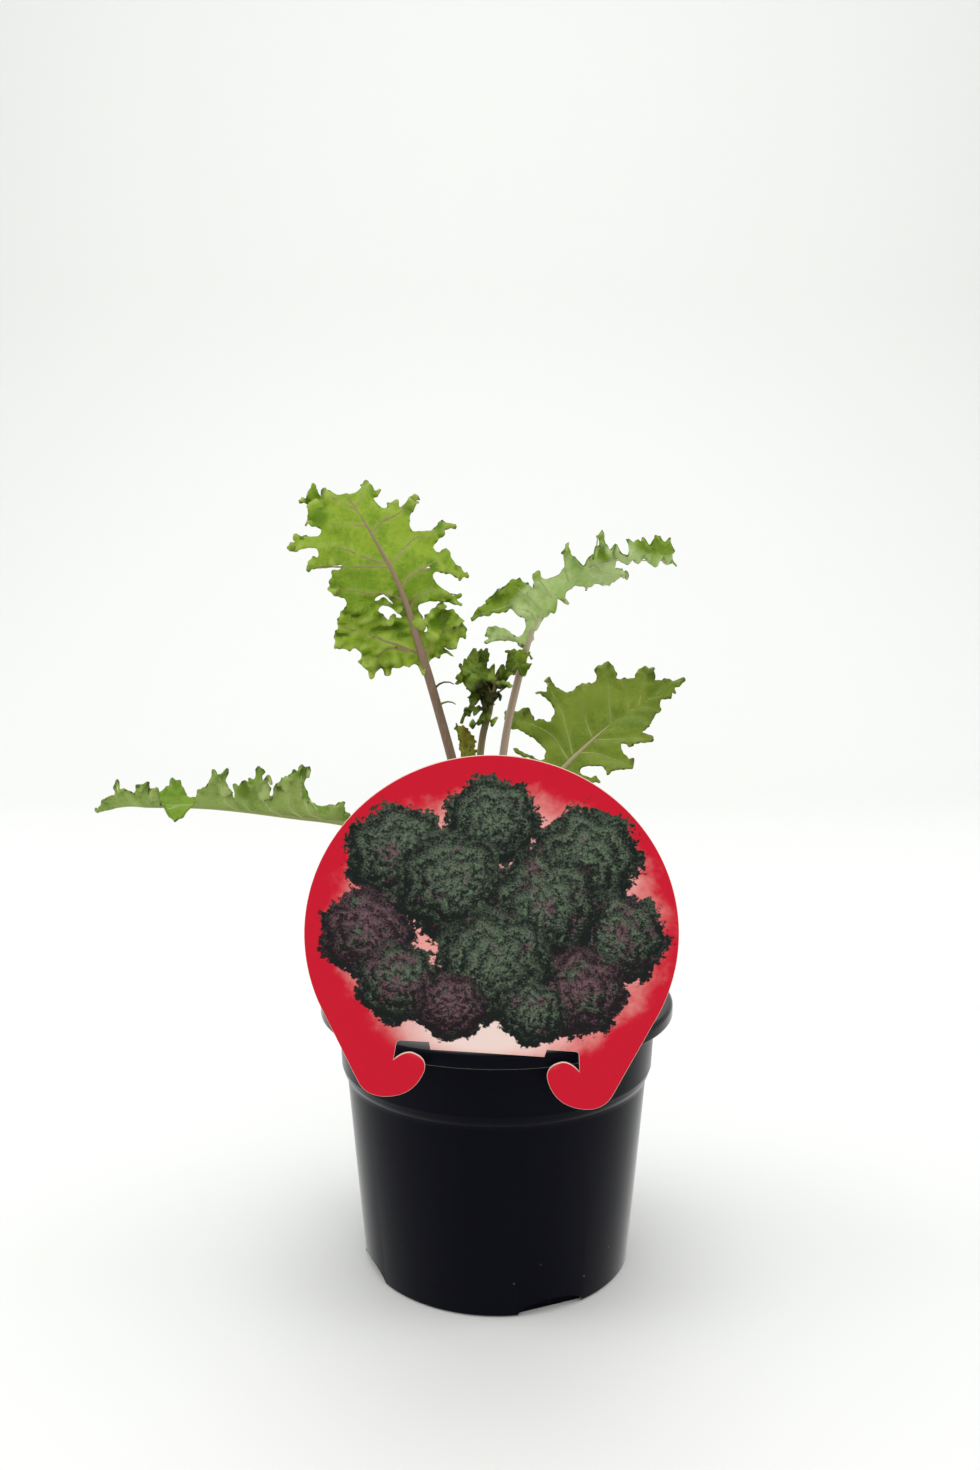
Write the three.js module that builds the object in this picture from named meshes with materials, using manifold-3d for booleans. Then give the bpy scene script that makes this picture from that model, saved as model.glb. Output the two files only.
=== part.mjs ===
// Potted kale seedling: a young kale plant in a black nursery pot, with a red card clipped on its lip.
// Millimetres, +Z up. The origin is the middle of the pot's underside; the card faces -Y.
import * as THREE from "three";
import { mergeVertices } from "three/addons/utils/BufferGeometryUtils.js";
import Module from "manifold-3d";

const wasm = await Module();
wasm.setup();

// Driving dimensions
const GAP = 0.3; // clearance where two pieces touch
const NEAR = 0.1; // how close two heights or radii are to count as the same
const PAST = 1; // how far a cutter reaches past what it cuts
const POT = {
  height: 79,
  lipRadius: 52.5,
  lipDepth: 3.8,
  lipRound: 1.2,
  lipBevel: 0.5,
  bandTop: 47.4,
  bandBottom: 46.4,
  bandFoot: 59.5,
  bandBevel: 0.5,
  stepHeight: 2.6,
  wallTop: 45,
  footRadius: 40,
  footBevel: 0.8,
  wall: 1.2,
  floor: 1.6,
  floorBevel: 1,
  arches: 4,
  firstArch: 22.5, // degrees round from +X
  archWidth: 20,
  archShoulder: 0.75, // how far out the arch stays high, as a share of half its width
  archRise: 4,
  archDepth: 5,
  drainRadius: 4,
  drainRing: 27.2,
};
const SOIL = {
  gap: 0.45,
  level: 69,
  swell: 1,
  clear: 0.5,
  bevelTop: 7, // the foot's bevel, which stays inside the arches
  edgeRise: 1,
  edgeBevel: 0.6,
  holeRadius: 3.4,
  rings: 9,
  // Two lumpy waves on the top: turns for each millimetre across and back, and the second one's share.
  waves: [[0.31, 0.27], [0.7, 0.55]],
  second: 0.5,
};
const STEM = { foot: 55, top: 119, footRadius: 3, topRadius: 2.3, lean: -4.2, steps: 6 };
const CARD = {
  radius: 47.4,
  thickness: 0.7,
  lean: 5,
  roll: 4,
  centre: [-1.6, 110.6],
  lipPlane: -52.2,
  tangent: 25,
  footShift: 1.1,
  tongueHalf: 14.7,
  tongueFloor: 31,
  slotInner: 15.2,
  slotOuter: 23.6,
  slotTop: 29,
  slotRound: 1.2,
  notch: [24.1, -34.5],
  // A hook's round head from its notch to the card's slanted side: each bend's corner and end.
  hook: [
    [[21.6, -31.9], [19.4, -32.2]],
    [[15.2, -33.4], [15.9, -37]],
    [[18.2, -44.6], [26, -44.9]],
    [[31, -45], [33.1, -40.8]],
  ],
  hookSteps: 6,
  discSteps: 30,
};
const BLADE = { thickness: 0.7, overlap: 0.15, tipRadius: 0.5 };
const STALK = { foot: 1.1, head: 0.85 }; // a stalk's thickness at the stem and where the blade starts
// How a lobe's rays run: the neck's longest share of the reach, how far their feet spread on the rib as a
// share of the room there and of the lobe's width, and how they gather in the neck and round off in the head.
const RAY = { neck: 0.6, room: 0.8, width: 0.5, gather: 0.25, waist: 0.7, round: 0.25 };
// A lobe's head: how far across it each tooth or dip lies, and its share of the lobe's reach past the notch.
const TEETH = {
  broad: [[-0.9, 0.8], [-0.45, 0.72], [0, 1], [0.45, 0.74], [0.9, 0.78]],
  small: [[-0.8, 0.7], [0, 1], [0.8, 0.7]],
};
const SECTION = {
  potSides: 48,
  archSteps: 5,
  drainSides: 12,
  soilSides: 24,
  stemSides: 12,
  ribSides: 6,
  ribSteps: 18,
};

const GREEN = { color: 0x7f9b33, roughness: 0.55, metalness: 0 };
const material = (settings) => new THREE.MeshStandardMaterial({ ...settings, side: THREE.FrontSide });
const radians = THREE.MathUtils.degToRad;

// Solids for joining and cutting

function solidOf(geometry) {
  const bare = geometry.index ? geometry.toNonIndexed() : geometry.clone();
  bare.deleteAttribute("normal");
  bare.deleteAttribute("uv");
  const merged = mergeVertices(bare, 1e-4);
  const index = [];
  const raw = merged.index.array;
  for (let i = 0; i < raw.length; i += 3) {
    const [a, b, c] = [raw[i], raw[i + 1], raw[i + 2]];
    if (a !== b && b !== c && c !== a) index.push(a, b, c);
  }
  return new wasm.Manifold(new wasm.Mesh({
    numProp: 3,
    vertProperties: new Float32Array(merged.attributes.position.array),
    triVerts: new Uint32Array(index),
  }));
}

function geometryOf(solid) {
  const mesh = solid.getMesh();
  const geometry = new THREE.BufferGeometry();
  geometry.setAttribute("position", new THREE.BufferAttribute(mesh.vertProperties, 3));
  geometry.setIndex(new THREE.BufferAttribute(mesh.triVerts, 1));
  return geometry;
}

function lathe(profile, sides) {
  // A lathe turns its profile round Y, so it is stood up to turn round Z.
  const points = profile.map(([r, z]) => new THREE.Vector2(r, z));
  return new THREE.LatheGeometry(points, sides).rotateX(Math.PI / 2);
}

// A round bar of changing radius along a curve, closed at both ends.
function barAlong(curve, radiusAt, sides, steps) {
  const bar = new THREE.CylinderGeometry(1, 1, 1, sides, steps);
  const place = bar.attributes.position;
  const local = new THREE.Vector3();
  for (let i = 0; i < place.count; i++) {
    local.fromBufferAttribute(place, i);
    const along = THREE.MathUtils.clamp(local.y + 0.5, 0, 1);
    const frame = frameOn(curve, along);
    const radius = radiusAt(along);
    const centre = curve.getPointAt(along);
    centre.addScaledVector(frame.side, local.x * radius).addScaledVector(frame.face, local.z * radius);
    place.setXYZ(i, centre.x, centre.y, centre.z);
  }
  return bar;
}

// Pot

function potProfile() {
  const p = POT;
  const lipFoot = p.height - p.lipDepth;
  const stepFoot = p.bandFoot - p.stepHeight;
  const round = [0, 30, 60, 90].map((turn) => [
    p.lipRadius - p.lipRound + p.lipRound * Math.cos(radians(turn)),
    p.height - p.lipRound + p.lipRound * Math.sin(radians(turn)),
  ]);
  return [
    [0, 0],
    [p.footRadius - p.footBevel, 0],
    [p.footRadius, p.footBevel],
    [p.wallTop, stepFoot],
    [p.bandBottom - p.bandBevel, p.bandFoot - 2 * p.bandBevel],
    [p.bandBottom, p.bandFoot],
    [p.bandTop, lipFoot],
    [p.lipRadius - p.lipBevel, lipFoot],
    [p.lipRadius, lipFoot + p.lipBevel],
    ...round,
    [p.bandTop - p.wall, p.height],
    [p.bandBottom - p.wall, p.bandFoot + p.bandBevel],
    [p.wallTop - p.wall, stepFoot],
    [p.footRadius - p.wall, p.floor + p.floorBevel],
    [p.footRadius - p.wall - p.floorBevel, p.floor],
    [0, p.floor],
  ];
}

// An arched notch through the wall's foot: an arch on its flat side, drawn outwards.
function archCutter(turn) {
  const shape = new THREE.Shape();
  const half = POT.archWidth / 2;
  const shoulder = half * POT.archShoulder;
  shape.moveTo(-half, -PAST);
  shape.lineTo(half, -PAST);
  shape.quadraticCurveTo(shoulder, POT.archRise, 0, POT.archRise);
  shape.quadraticCurveTo(-shoulder, POT.archRise, -half, -PAST);
  const cutter = new THREE.ExtrudeGeometry(shape, {
    depth: POT.archDepth,
    bevelEnabled: false,
    curveSegments: SECTION.archSteps,
  });
  cutter.rotateX(Math.PI / 2).rotateZ(Math.PI / 2);
  cutter.translate(POT.footRadius + 2 * PAST - POT.archDepth, 0, 0);
  return solidOf(cutter.rotateZ(turn));
}

// A round hole through the floor; the cutter is centred on the pot's underside.
function drainCutter(turn) {
  const height = 2 * (POT.floor + PAST);
  const hole = new THREE.CylinderGeometry(POT.drainRadius, POT.drainRadius, height, SECTION.drainSides);
  hole.rotateX(Math.PI / 2).translate(POT.drainRing, 0, 0);
  return solidOf(hole.rotateZ(turn));
}

function potGeometry() {
  let solid = solidOf(lathe(potProfile(), SECTION.potSides));
  for (let i = 0; i < POT.arches; i++) {
    const turn = radians(POT.firstArch + i * 360 / POT.arches);
    solid = solid.subtract(archCutter(turn)).subtract(drainCutter(turn));
  }
  return geometryOf(solid);
}

// Soil

function soilGeometry() {
  const shoulder = POT.bandFoot - POT.stepHeight;
  const wallInside = (z) => {
    return THREE.MathUtils.lerp(POT.footRadius, POT.wallTop, z / shoulder) - POT.wall - SOIL.gap;
  };
  const bottom = POT.floor + SOIL.clear;
  const edge = POT.bandBottom - POT.wall - SOIL.gap;
  const profile = [
    [0, bottom],
    [POT.footRadius - POT.archDepth, bottom],
    [wallInside(SOIL.bevelTop), SOIL.bevelTop],
    [wallInside(shoulder), shoulder],
    [edge - SOIL.edgeBevel, POT.bandFoot + SOIL.edgeRise],
  ];
  for (let i = 0; i <= SOIL.rings; i++) {
    profile.push([THREE.MathUtils.lerp(edge, SOIL.holeRadius, i / SOIL.rings), SOIL.level]);
  }
  const holeFloor = STEM.foot - SOIL.clear;
  profile.push([SOIL.holeRadius, holeFloor], [0, holeFloor]);
  const soil = lathe(profile, SECTION.soilSides);
  const place = soil.attributes.position;
  const [[longX, longY], [shortX, shortY]] = SOIL.waves;
  for (let i = 0; i < place.count; i++) {
    const [x, y, z] = [place.getX(i), place.getY(i), place.getZ(i)];
    if (z > SOIL.level - NEAR) {
      const broad = Math.sin(x * longX + 1) * Math.cos(y * longY);
      const close = SOIL.second * Math.sin(x * shortX - y * shortY);
      place.setZ(i, SOIL.level + SOIL.swell * (broad + close));
    }
    const onHole = z > holeFloor - NEAR && Math.hypot(x, y) < SOIL.holeRadius + NEAR;
    if (onHole) place.setX(i, x + STEM.lean);
  }
  return geometryOf(solidOf(soil));
}

// Stem

// The stem itself, or with some extra all round, the space that the leaf stalks are cut back to.
function stemGeometry(extra = 0) {
  const line = new THREE.LineCurve3(
    new THREE.Vector3(STEM.lean, 0, STEM.foot),
    new THREE.Vector3(STEM.lean, 0, STEM.top + extra),
  );
  const radiusAt = (along) => THREE.MathUtils.lerp(STEM.footRadius, STEM.topRadius, along) + extra;
  return barAlong(line, radiusAt, SECTION.stemSides, STEM.steps);
}

// Leaves
// A leaf is a rib curve and two rows of lobes. A lobe leaves the rib at a share of its length, reaches out
// at an angle from the rib's direction, and is lifted out of the blade's plane towards its upper face.
// notch is how far from the rib the cut behind the next lobe starts.

const lobe = (at, reach, sweep, lift, width, notch) => ({ at, reach, sweep, lift, width, notch });

const LEAVES = {
  leaf_upper_left: {
    stalk: 1.55,
    rib: [
      [-5, -0.8, 111], [-7.6, -3, 119], [-9.8, -5, 136], [-13.6, -8, 153], [-20.5, -14, 179],
      [-26.6, -19, 199], [-33.2, -20, 212], [-39.4, -15, 222], [-43, -7, 226], [-44, 2, 225],
    ],
    face: [[0.1, 1, 0.15], [-0.2, 0.9, -0.35]],
    start: 0.50,
    rows: 3,
    teeth: "broad",
    plus: [
      lobe(0.52, 18, 83, -20, 8, 13),
      lobe(0.57, 23, 69, -5, 9, 14),
      lobe(0.62, 22, 61, 15, 7, 14),
      lobe(0.65, 22, 53, 5, 7, 11),
      lobe(0.69, 23, 61, -10, 5, 12),
      lobe(0.73, 29, 48, 15, 6, 11),
      lobe(0.79, 19, 58, -15, 7, 7),
      lobe(0.86, 19, 32, 10, 6, 4),
    ],
    minus: [
      lobe(0.55, 9, 108, -20, 6, 6),
      lobe(0.58, 15, 108, -10, 8, 8),
      lobe(0.63, 16, 103, 10, 5, 9),
      lobe(0.67, 19, 101, -10, 6, 12),
      lobe(0.705, 17, 94, 5, 5, 11),
      lobe(0.73, 24, 89, 15, 5, 9),
      lobe(0.78, 16, 78, -15, 5, 6),
      lobe(0.86, 12, 46, 10, 5, 3),
    ],
  },
  leaf_upper_right: {
    stalk: 1.45,
    rib: [
      [-3.2, -0.2, 112], [-1, -3, 119.5], [2, -5, 153], [6, -5.5, 173], [10, -7.5, 187],
      [15, -12, 196], [23, -15, 204], [33, -17, 207], [41, -18, 207], [47, -18, 207],
    ],
    face: [[-0.3, 0.9, 0.3], [0, 0.55, 0.85]],
    start: 0.53,
    rows: 3,
    teeth: "broad",
    plus: [
      lobe(0.56, 14, 80, 10, 3.5, 1.5),
      lobe(0.63, 18, 94, 5, 3.5, 4),
      lobe(0.68, 14, 98, 40, 7, 6),
      lobe(0.72, 13, 74, 0, 4, 4),
      lobe(0.77, 10, 62, 20, 4, 3),
      lobe(0.83, 10, 62, 25, 5, 3),
      lobe(0.90, 6, 58, 25, 4, 2.5),
      lobe(0.95, 7, 58, 35, 4, 2),
    ],
    minus: [
      lobe(0.58, 4, 60, 20, 4, 1.5),
      lobe(0.64, 7, 75, 30, 5, 3),
      lobe(0.69, 12, 88, 30, 6, 5),
      lobe(0.76, 9, 62, -10, 6, 5),
      lobe(0.81, 12, 52, -10, 6, 4),
      lobe(0.88, 8, 42, -10, 5, 2),
      lobe(0.94, 5, 40, 10, 4, 1.5),
    ],
  },
  leaf_right: {
    stalk: 1.5,
    rib: [
      [-4, 1, 112], [-1, 3, 120], [9, 6, 133], [21, 12, 146], [35, 18, 158], [46, 21, 165], [58, 22, 172],
    ],
    face: [[-0.25, -0.85, 0.45], [-0.15, -0.85, 0.5]],
    start: 0.40,
    rows: 3,
    teeth: "broad",
    plus: [
      lobe(0.44, 14, 63, 15, 5, 4),
      lobe(0.54, 19, 50, -10, 8, 6),
      lobe(0.66, 18, 48, 10, 8, 5),
      lobe(0.79, 12, 34, -15, 6, 3),
      lobe(0.90, 6, 32, 5, 4, 1.5),
    ],
    minus: [
      lobe(0.415, 14, 88, 10, 4, 4),
      lobe(0.46, 30, 80, -10, 8, 10),
      lobe(0.535, 26, 74, 0, 4, 18),
      lobe(0.60, 24, 78, 10, 6, 14),
      lobe(0.66, 21, 70, 5, 6, 11),
      lobe(0.70, 24, 59, -10, 7, 7),
      lobe(0.80, 14, 43, 12, 7, 3),
    ],
  },
  leaf_left: {
    stalk: 1.55,
    rib: [
      [-4.5, 0.8, 106], [-8.5, 1.2, 113], [-23, 0.6, 125.6], [-45, 0, 131], [-60, -1, 133],
      [-76, -2, 135], [-88, -3, 136], [-102, -3, 136], [-109, -2, 136], [-119, 0, 134],
    ],
    face: [[0, -0.1, 1], [0, -0.15, 1]],
    start: 0.36,
    rows: 3,
    teeth: "broad",
    plus: [
      lobe(0.38, 4, 60, 20, 3, 2),
      lobe(0.44, 16, 63, 50, 7, 4),
      lobe(0.54, 14, 61, 60, 7, 4),
      lobe(0.62, 14, 57, 50, 7, 4),
      lobe(0.72, 10, 62, 40, 6, 4),
      lobe(0.81, 8, 50, 60, 5, 3),
      lobe(0.90, 7, 45, 50, 4, 2),
    ],
    minus: [
      lobe(0.39, 10, 69, 45, 5, 3),
      lobe(0.48, 16, 63, 65, 8, 4),
      lobe(0.58, 12, 58, 60, 6, 4),
      lobe(0.67, 13, 70, 70, 7, 4),
      lobe(0.77, 8, 74, -25, 7, 3),
      lobe(0.86, 8, 70, 60, 5, 3),
      lobe(0.93, 7, 70, 60, 4, 2),
    ],
  },
  leaf_centre: {
    stalk: 1.1,
    rib: [
      [-4.2, -0.5, 118], [-4.4, -1.6, 127], [-5, -6, 147], [-4, -10, 158],
      [-2, -13, 165], [-1, -14.5, 171], [0, -14.5, 175], [1, -12, 178],
    ],
    face: [[0, -0.9, 0.3], [0, -0.9, 0.3]],
    start: 0.60,
    rows: 2,
    teeth: "small",
    plus: [
      lobe(0.69, 4, 34, 20, 3, 1),
      lobe(0.80, 4, 40, 10, 3, 1.5),
      lobe(0.87, 10, 50, 15, 5, 3),
      lobe(0.92, 12, 40, 5, 5, 3),
      lobe(0.98, 8, 30, 15, 4, 1.5),
    ],
    minus: [
      lobe(0.65, 4, 66, 10, 3, 1),
      lobe(0.735, 7, 100, -10, 3, 2),
      lobe(0.82, 11, 77, 10, 6, 5),
      lobe(0.87, 12, 77, -5, 5, 6),
      lobe(0.91, 10, 72, 10, 5, 5),
      lobe(0.955, 8, 54, 5, 4, 2),
    ],
  },
  leaf_bud: {
    stalk: 0.9,
    rib: [[-5.6, 2, 118.5], [-7, 1.2, 126], [-8, -0.6, 139], [-9.4, -1, 150], [-10.4, -0.5, 158]],
    face: [[0.5, -0.9, 0], [0.6, -0.8, 0]],
    start: 0.66,
    rows: 2,
    teeth: "small",
    plus: [lobe(0.76, 4.5, 60, 40, 3.5, 2), lobe(0.9, 3.5, 45, 40, 3, 1)],
    minus: [lobe(0.76, 4, 60, 50, 3.5, 2), lobe(0.9, 3, 45, 50, 3, 1)],
  },
};

const facing = new Map(); // the upper face's direction at a curve's two ends

// The direction along a curve, the upper face's direction and the side direction at one place on it.
function frameOn(curve, along) {
  const step = 0.01;
  const ahead = curve.getPointAt(Math.min(along + step, 1));
  const tangent = ahead.sub(curve.getPointAt(Math.max(along - step, 0))).normalize();
  const [first, last] = facing.get(curve) ?? [new THREE.Vector3(0, 1, 0), new THREE.Vector3(0, 1, 0)];
  const face = first.clone().lerp(last, along);
  face.addScaledVector(tangent, -face.dot(tangent)).normalize();
  const side = tangent.clone().cross(face);
  return { tangent, face, side };
}

// The outline of one side as rays: where each starts on the rib, its inner turning point and its end, in the
// flat blade's own millimetres along and across the rib.
function raysOf(lobes, teeth, start, length) {
  const between = (a, b) => (a + b) / 2;
  const direction = (sweep) => [Math.cos(radians(sweep)), Math.sin(radians(sweep))];
  const bases = lobes.map((l) => l.at * length);
  const first = start * length;
  const rays = [{ base: first, inner: [first, 0.25], end: [first, 0.5], lift: 0 }];
  lobes.forEach((l, i) => {
    const base = bases[i];
    const before = i ? between(bases[i - 1], base) : between(first, base);
    const after = i < lobes.length - 1 ? between(base, bases[i + 1]) : between(base, length);
    const out = direction(l.sweep);
    const across = [out[1], -out[0]];
    const neck = Math.min(l.notch, l.reach * RAY.neck);
    // Teeth and the dips between them, from the lobe's base-ward shoulder to its tip-ward shoulder.
    for (const [t, share] of teeth) {
      const room = t < 0 ? base - before : after - base;
      const foot = base + t * Math.min(room * RAY.room, l.width * RAY.width);
      const reach = neck + (l.reach - neck) * share;
      const swell = t * l.width / 2 * (1 - RAY.round * Math.abs(t));
      rays.push({
        base: foot,
        inner: [foot + (base - foot) * RAY.gather + out[0] * neck * RAY.waist, out[1] * neck * RAY.waist],
        end: [base + out[0] * reach + across[0] * swell, out[1] * reach + across[1] * swell],
        lift: l.lift,
      });
    }
    if (i < lobes.length - 1) {
      const next = lobes[i + 1];
      const nextOut = direction(next.sweep);
      const lean = [between(out[0], nextOut[0]), between(out[1], nextOut[1])];
      const end = [after + lean[0] * l.notch, lean[1] * l.notch];
      rays.push({
        base: after,
        inner: [between(after, end[0]), end[1] / 2],
        end,
        lift: between(l.lift, next.lift),
      });
    }
  });
  rays.push({ base: length, inner: [length + 0.5, 0.3], end: [length + 1, 0.6], lift: 0 });
  return rays;
}

// One half of a blade: a grid of rays and rows, split alike on both faces and closed round its edges.
function halfBlade(curve, lobes, { start, rows, teeth }, side) {
  const length = curve.getLength();
  const rays = raysOf(lobes, TEETH[teeth], start, length);
  const grid = rays.map((ray) => {
    const line = [];
    for (let k = 0; k <= rows; k++) {
      const v = k / rows;
      const [a, b, c] = [(1 - v) ** 2, 2 * v * (1 - v), v * v];
      const ahead = a * ray.base + b * ray.inner[0] + c * ray.end[0];
      const outward = b * ray.inner[1] + c * ray.end[1] - (k ? 0 : BLADE.overlap);
      const lift = radians(ray.lift) * v;
      const along = THREE.MathUtils.clamp(ahead / length, 0, 1);
      const { tangent, face, side: across } = frameOn(curve, along);
      line.push(curve.getPointAt(along)
        .addScaledVector(tangent, ahead - along * length)
        .addScaledVector(across, side * outward * Math.cos(lift))
        .addScaledVector(face, outward * Math.sin(lift)));
    }
    return line;
  });
  return solidOf(thickSheet(grid, BLADE.thickness, side > 0));
}

// A closed sheet of even thickness round a grid of points.
function thickSheet(grid, thickness, flipped) {
  const columns = grid.length;
  const rows = grid[0].length;
  const normal = (i, k) => {
    const alongGrid = grid[Math.min(i + 1, columns - 1)][k].clone().sub(grid[Math.max(i - 1, 0)][k]);
    const acrossGrid = grid[i][Math.min(k + 1, rows - 1)].clone().sub(grid[i][Math.max(k - 1, 0)]);
    return alongGrid.cross(acrossGrid).normalize();
  };
  const corners = [];
  for (const half of [0.5, -0.5]) {
    for (let i = 0; i < columns; i++) {
      for (let k = 0; k < rows; k++) {
        corners.push(grid[i][k].clone().addScaledVector(normal(i, k), thickness * half));
      }
    }
  }
  const at = (face, i, k) => face * columns * rows + i * rows + k;
  const index = [];
  const quad = (a, b, c, d) => index.push(a, b, c, a, c, d);
  for (let i = 0; i < columns - 1; i++) {
    for (let k = 0; k < rows - 1; k++) {
      quad(at(0, i, k), at(0, i + 1, k), at(0, i + 1, k + 1), at(0, i, k + 1));
      index.push(at(1, i, k), at(1, i + 1, k + 1), at(1, i + 1, k));
      index.push(at(1, i, k), at(1, i, k + 1), at(1, i + 1, k + 1));
    }
    quad(at(1, i, 0), at(1, i + 1, 0), at(0, i + 1, 0), at(0, i, 0));
    quad(at(0, i, rows - 1), at(0, i + 1, rows - 1), at(1, i + 1, rows - 1), at(1, i, rows - 1));
  }
  for (let k = 0; k < rows - 1; k++) {
    quad(at(0, 0, k), at(0, 0, k + 1), at(1, 0, k + 1), at(1, 0, k));
    quad(at(1, columns - 1, k), at(1, columns - 1, k + 1), at(0, columns - 1, k + 1), at(0, columns - 1, k));
  }
  const geometry = new THREE.BufferGeometry();
  geometry.setAttribute("position", new THREE.Float32BufferAttribute(corners.flatMap((c) => c.toArray()), 3));
  geometry.setIndex(index);
  return geometry;
}

function leafGeometry(leaf) {
  const { rib, face, start, stalk, plus, minus } = leaf;
  const curve = new THREE.CatmullRomCurve3(rib.map((p) => new THREE.Vector3(...p)), false, "catmullrom", 0.5);
  facing.set(curve, face.map((f) => new THREE.Vector3(...f)));
  const radiusAt = (along) => {
    if (along < start) return stalk * THREE.MathUtils.lerp(STALK.foot, STALK.head, along / start);
    return THREE.MathUtils.lerp(stalk * STALK.head, BLADE.tipRadius, (along - start) / (1 - start));
  };
  return solidOf(barAlong(curve, radiusAt, SECTION.ribSides, SECTION.ribSteps))
    .add(halfBlade(curve, plus, leaf, 1))
    .add(halfBlade(curve, minus, leaf, -1))
    .subtract(solidOf(stemGeometry(GAP)));
}

// Card

// The outline's lower right half, from the tongue's middle to where the disc starts, then the disc, then the
// same half mirrored. The tongue and the hooks sit a little to one side of the disc's middle.
function cardShape() {
  const c = CARD;
  const turn = radians(c.tangent);
  const half = new THREE.Path();
  half.moveTo(0, -c.tongueFloor);
  half.lineTo(c.tongueHalf, -c.tongueFloor);
  half.lineTo(c.slotInner, -c.slotTop);
  half.lineTo(c.slotOuter - c.slotRound, -c.slotTop);
  half.quadraticCurveTo(c.slotOuter, -c.slotTop, c.slotOuter, -c.slotTop - c.slotRound);
  half.lineTo(...c.notch);
  for (const [corner, end] of c.hook) half.quadraticCurveTo(...corner, ...end);
  const disc = new THREE.Path().absarc(0, 0, c.radius, -turn, Math.PI + turn, false);
  const right = half.getPoints(c.hookSteps).map((p) => new THREE.Vector2(p.x + c.footShift, p.y));
  const left = right.slice(1).map((p) => new THREE.Vector2(2 * c.footShift - p.x, p.y)).reverse();
  return new THREE.Shape([...right, ...disc.getPoints(c.discSteps), ...left]);
}

function cardGeometry() {
  const flat = new THREE.ExtrudeGeometry(cardShape(), {
    depth: CARD.thickness,
    bevelEnabled: false,
  });
  flat.translate(0, 0, -CARD.thickness / 2);
  return geometryOf(solidOf(flat));
}

// The scene

const plant = new THREE.Group();
const put = (name, geometry, look, parent = plant) => {
  const mesh = new THREE.Mesh(geometry, material(look));
  mesh.name = name;
  parent.add(mesh);
  return mesh;
};

put("pot", potGeometry(), { color: 0x0c0d14, roughness: 0.35, metalness: 0 });
put("soil", soilGeometry(), { color: 0x2b1d14, roughness: 0.95, metalness: 0 });
put("stem", geometryOf(solidOf(stemGeometry())), { ...GREEN, color: 0x7d6a5e });
for (const [name, leaf] of Object.entries(LEAVES)) put(name, geometryOf(leafGeometry(leaf)), GREEN);

const cardFrame = new THREE.Group();
const lean = radians(CARD.lean);
const aboveLip = CARD.centre[1] - POT.height;
cardFrame.position.set(CARD.centre[0], CARD.lipPlane - aboveLip * Math.tan(lean), CARD.centre[1]);
cardFrame.rotation.set(Math.PI / 2 + lean, 0, 0);
plant.add(cardFrame);
put("label", cardGeometry(), { color: 0xc51b30, roughness: 0.4, metalness: 0 }, cardFrame)
  .rotation.set(0, 0, -radians(CARD.roll));

export default plant;
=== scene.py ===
"""A young kale plant in a black nursery pot, with a red card clipped on the pot's lip.

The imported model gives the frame. Each operator makes one piece, or one group of like pieces, at its
real size. Lengths in this file are millimetres unless a name says otherwise; meshes are made in metres.
"""

import math

import bmesh
import bpy
import numpy as np
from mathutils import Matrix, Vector, noise
from mathutils.geometry import delaunay_2d_cdt


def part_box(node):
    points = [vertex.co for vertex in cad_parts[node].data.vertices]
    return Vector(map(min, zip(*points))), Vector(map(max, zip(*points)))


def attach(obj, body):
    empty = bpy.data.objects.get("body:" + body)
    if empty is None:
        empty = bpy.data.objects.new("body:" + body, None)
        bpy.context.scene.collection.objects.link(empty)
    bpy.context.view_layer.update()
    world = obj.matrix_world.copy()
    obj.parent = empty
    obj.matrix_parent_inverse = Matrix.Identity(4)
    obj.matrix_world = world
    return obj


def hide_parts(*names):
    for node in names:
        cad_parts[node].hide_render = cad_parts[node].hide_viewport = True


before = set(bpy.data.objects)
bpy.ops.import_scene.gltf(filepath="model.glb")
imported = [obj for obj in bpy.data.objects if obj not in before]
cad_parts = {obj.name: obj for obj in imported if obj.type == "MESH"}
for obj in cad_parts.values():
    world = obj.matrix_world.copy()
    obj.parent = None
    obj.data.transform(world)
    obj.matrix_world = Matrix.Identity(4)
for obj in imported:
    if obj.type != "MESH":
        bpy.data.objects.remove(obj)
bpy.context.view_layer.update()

bl_info = {
    "name": "Potted kale seedling",
    "version": (1, 0, 0),
    "blender": (4, 5, 0),
    "location": "View3D > Sidebar > Kale",
    "description": "Makes a young kale plant, its nursery pot and its card",
    "category": "Add Mesh",
}

MM = 0.001
BODY = "root"

# The pot, with its lip and height taken from the frame.
POT_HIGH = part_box("pot")[1]
LIP_RADIUS = POT_HIGH.x / MM
POT_HEIGHT = POT_HIGH.z / MM
LIP_DEPTH = 3.8
LIP_ROUND = 1.2
BAND_RADIUS = 47.4
BAND_FOOT = 59.5
STEP_HEIGHT = 2.6
FLOOR = 1.6
ARCH_HALF = 10.0
ARCH_RISE = 4.0
DRAIN_RADIUS = 4
DRAIN_RING = 27.2

# The soil and the stem that stands in it.
SOIL_LEVEL = 69.0
SOIL_EDGE = 44.6
STEM_HOLE = 2.9
STEM_X = -4.2
STEM_FOOT = 55.3
STEM_TOP = 119.0
STEM_RADII = (2.85, 2.2)
LEAF_SCARS = (76, 83, 89, 96, 102)

# The camera: its lens in pixels of a picture of this height, its place in metres and its downward tilt.
SENSOR = 36.0
LENS_PX = 1200
PICTURE_HEIGHT_PX = 1470
CAMERA_PLACE = (-0.002, -0.352, 0.192)
CAMERA_TILT = 5.7

# The backdrop: how far behind the pot the floor starts to bend up, the bend's radius, and its top.
BEND_START = 900
BEND_RADIUS = 700
BACKDROP_TOP = 3000

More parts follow.
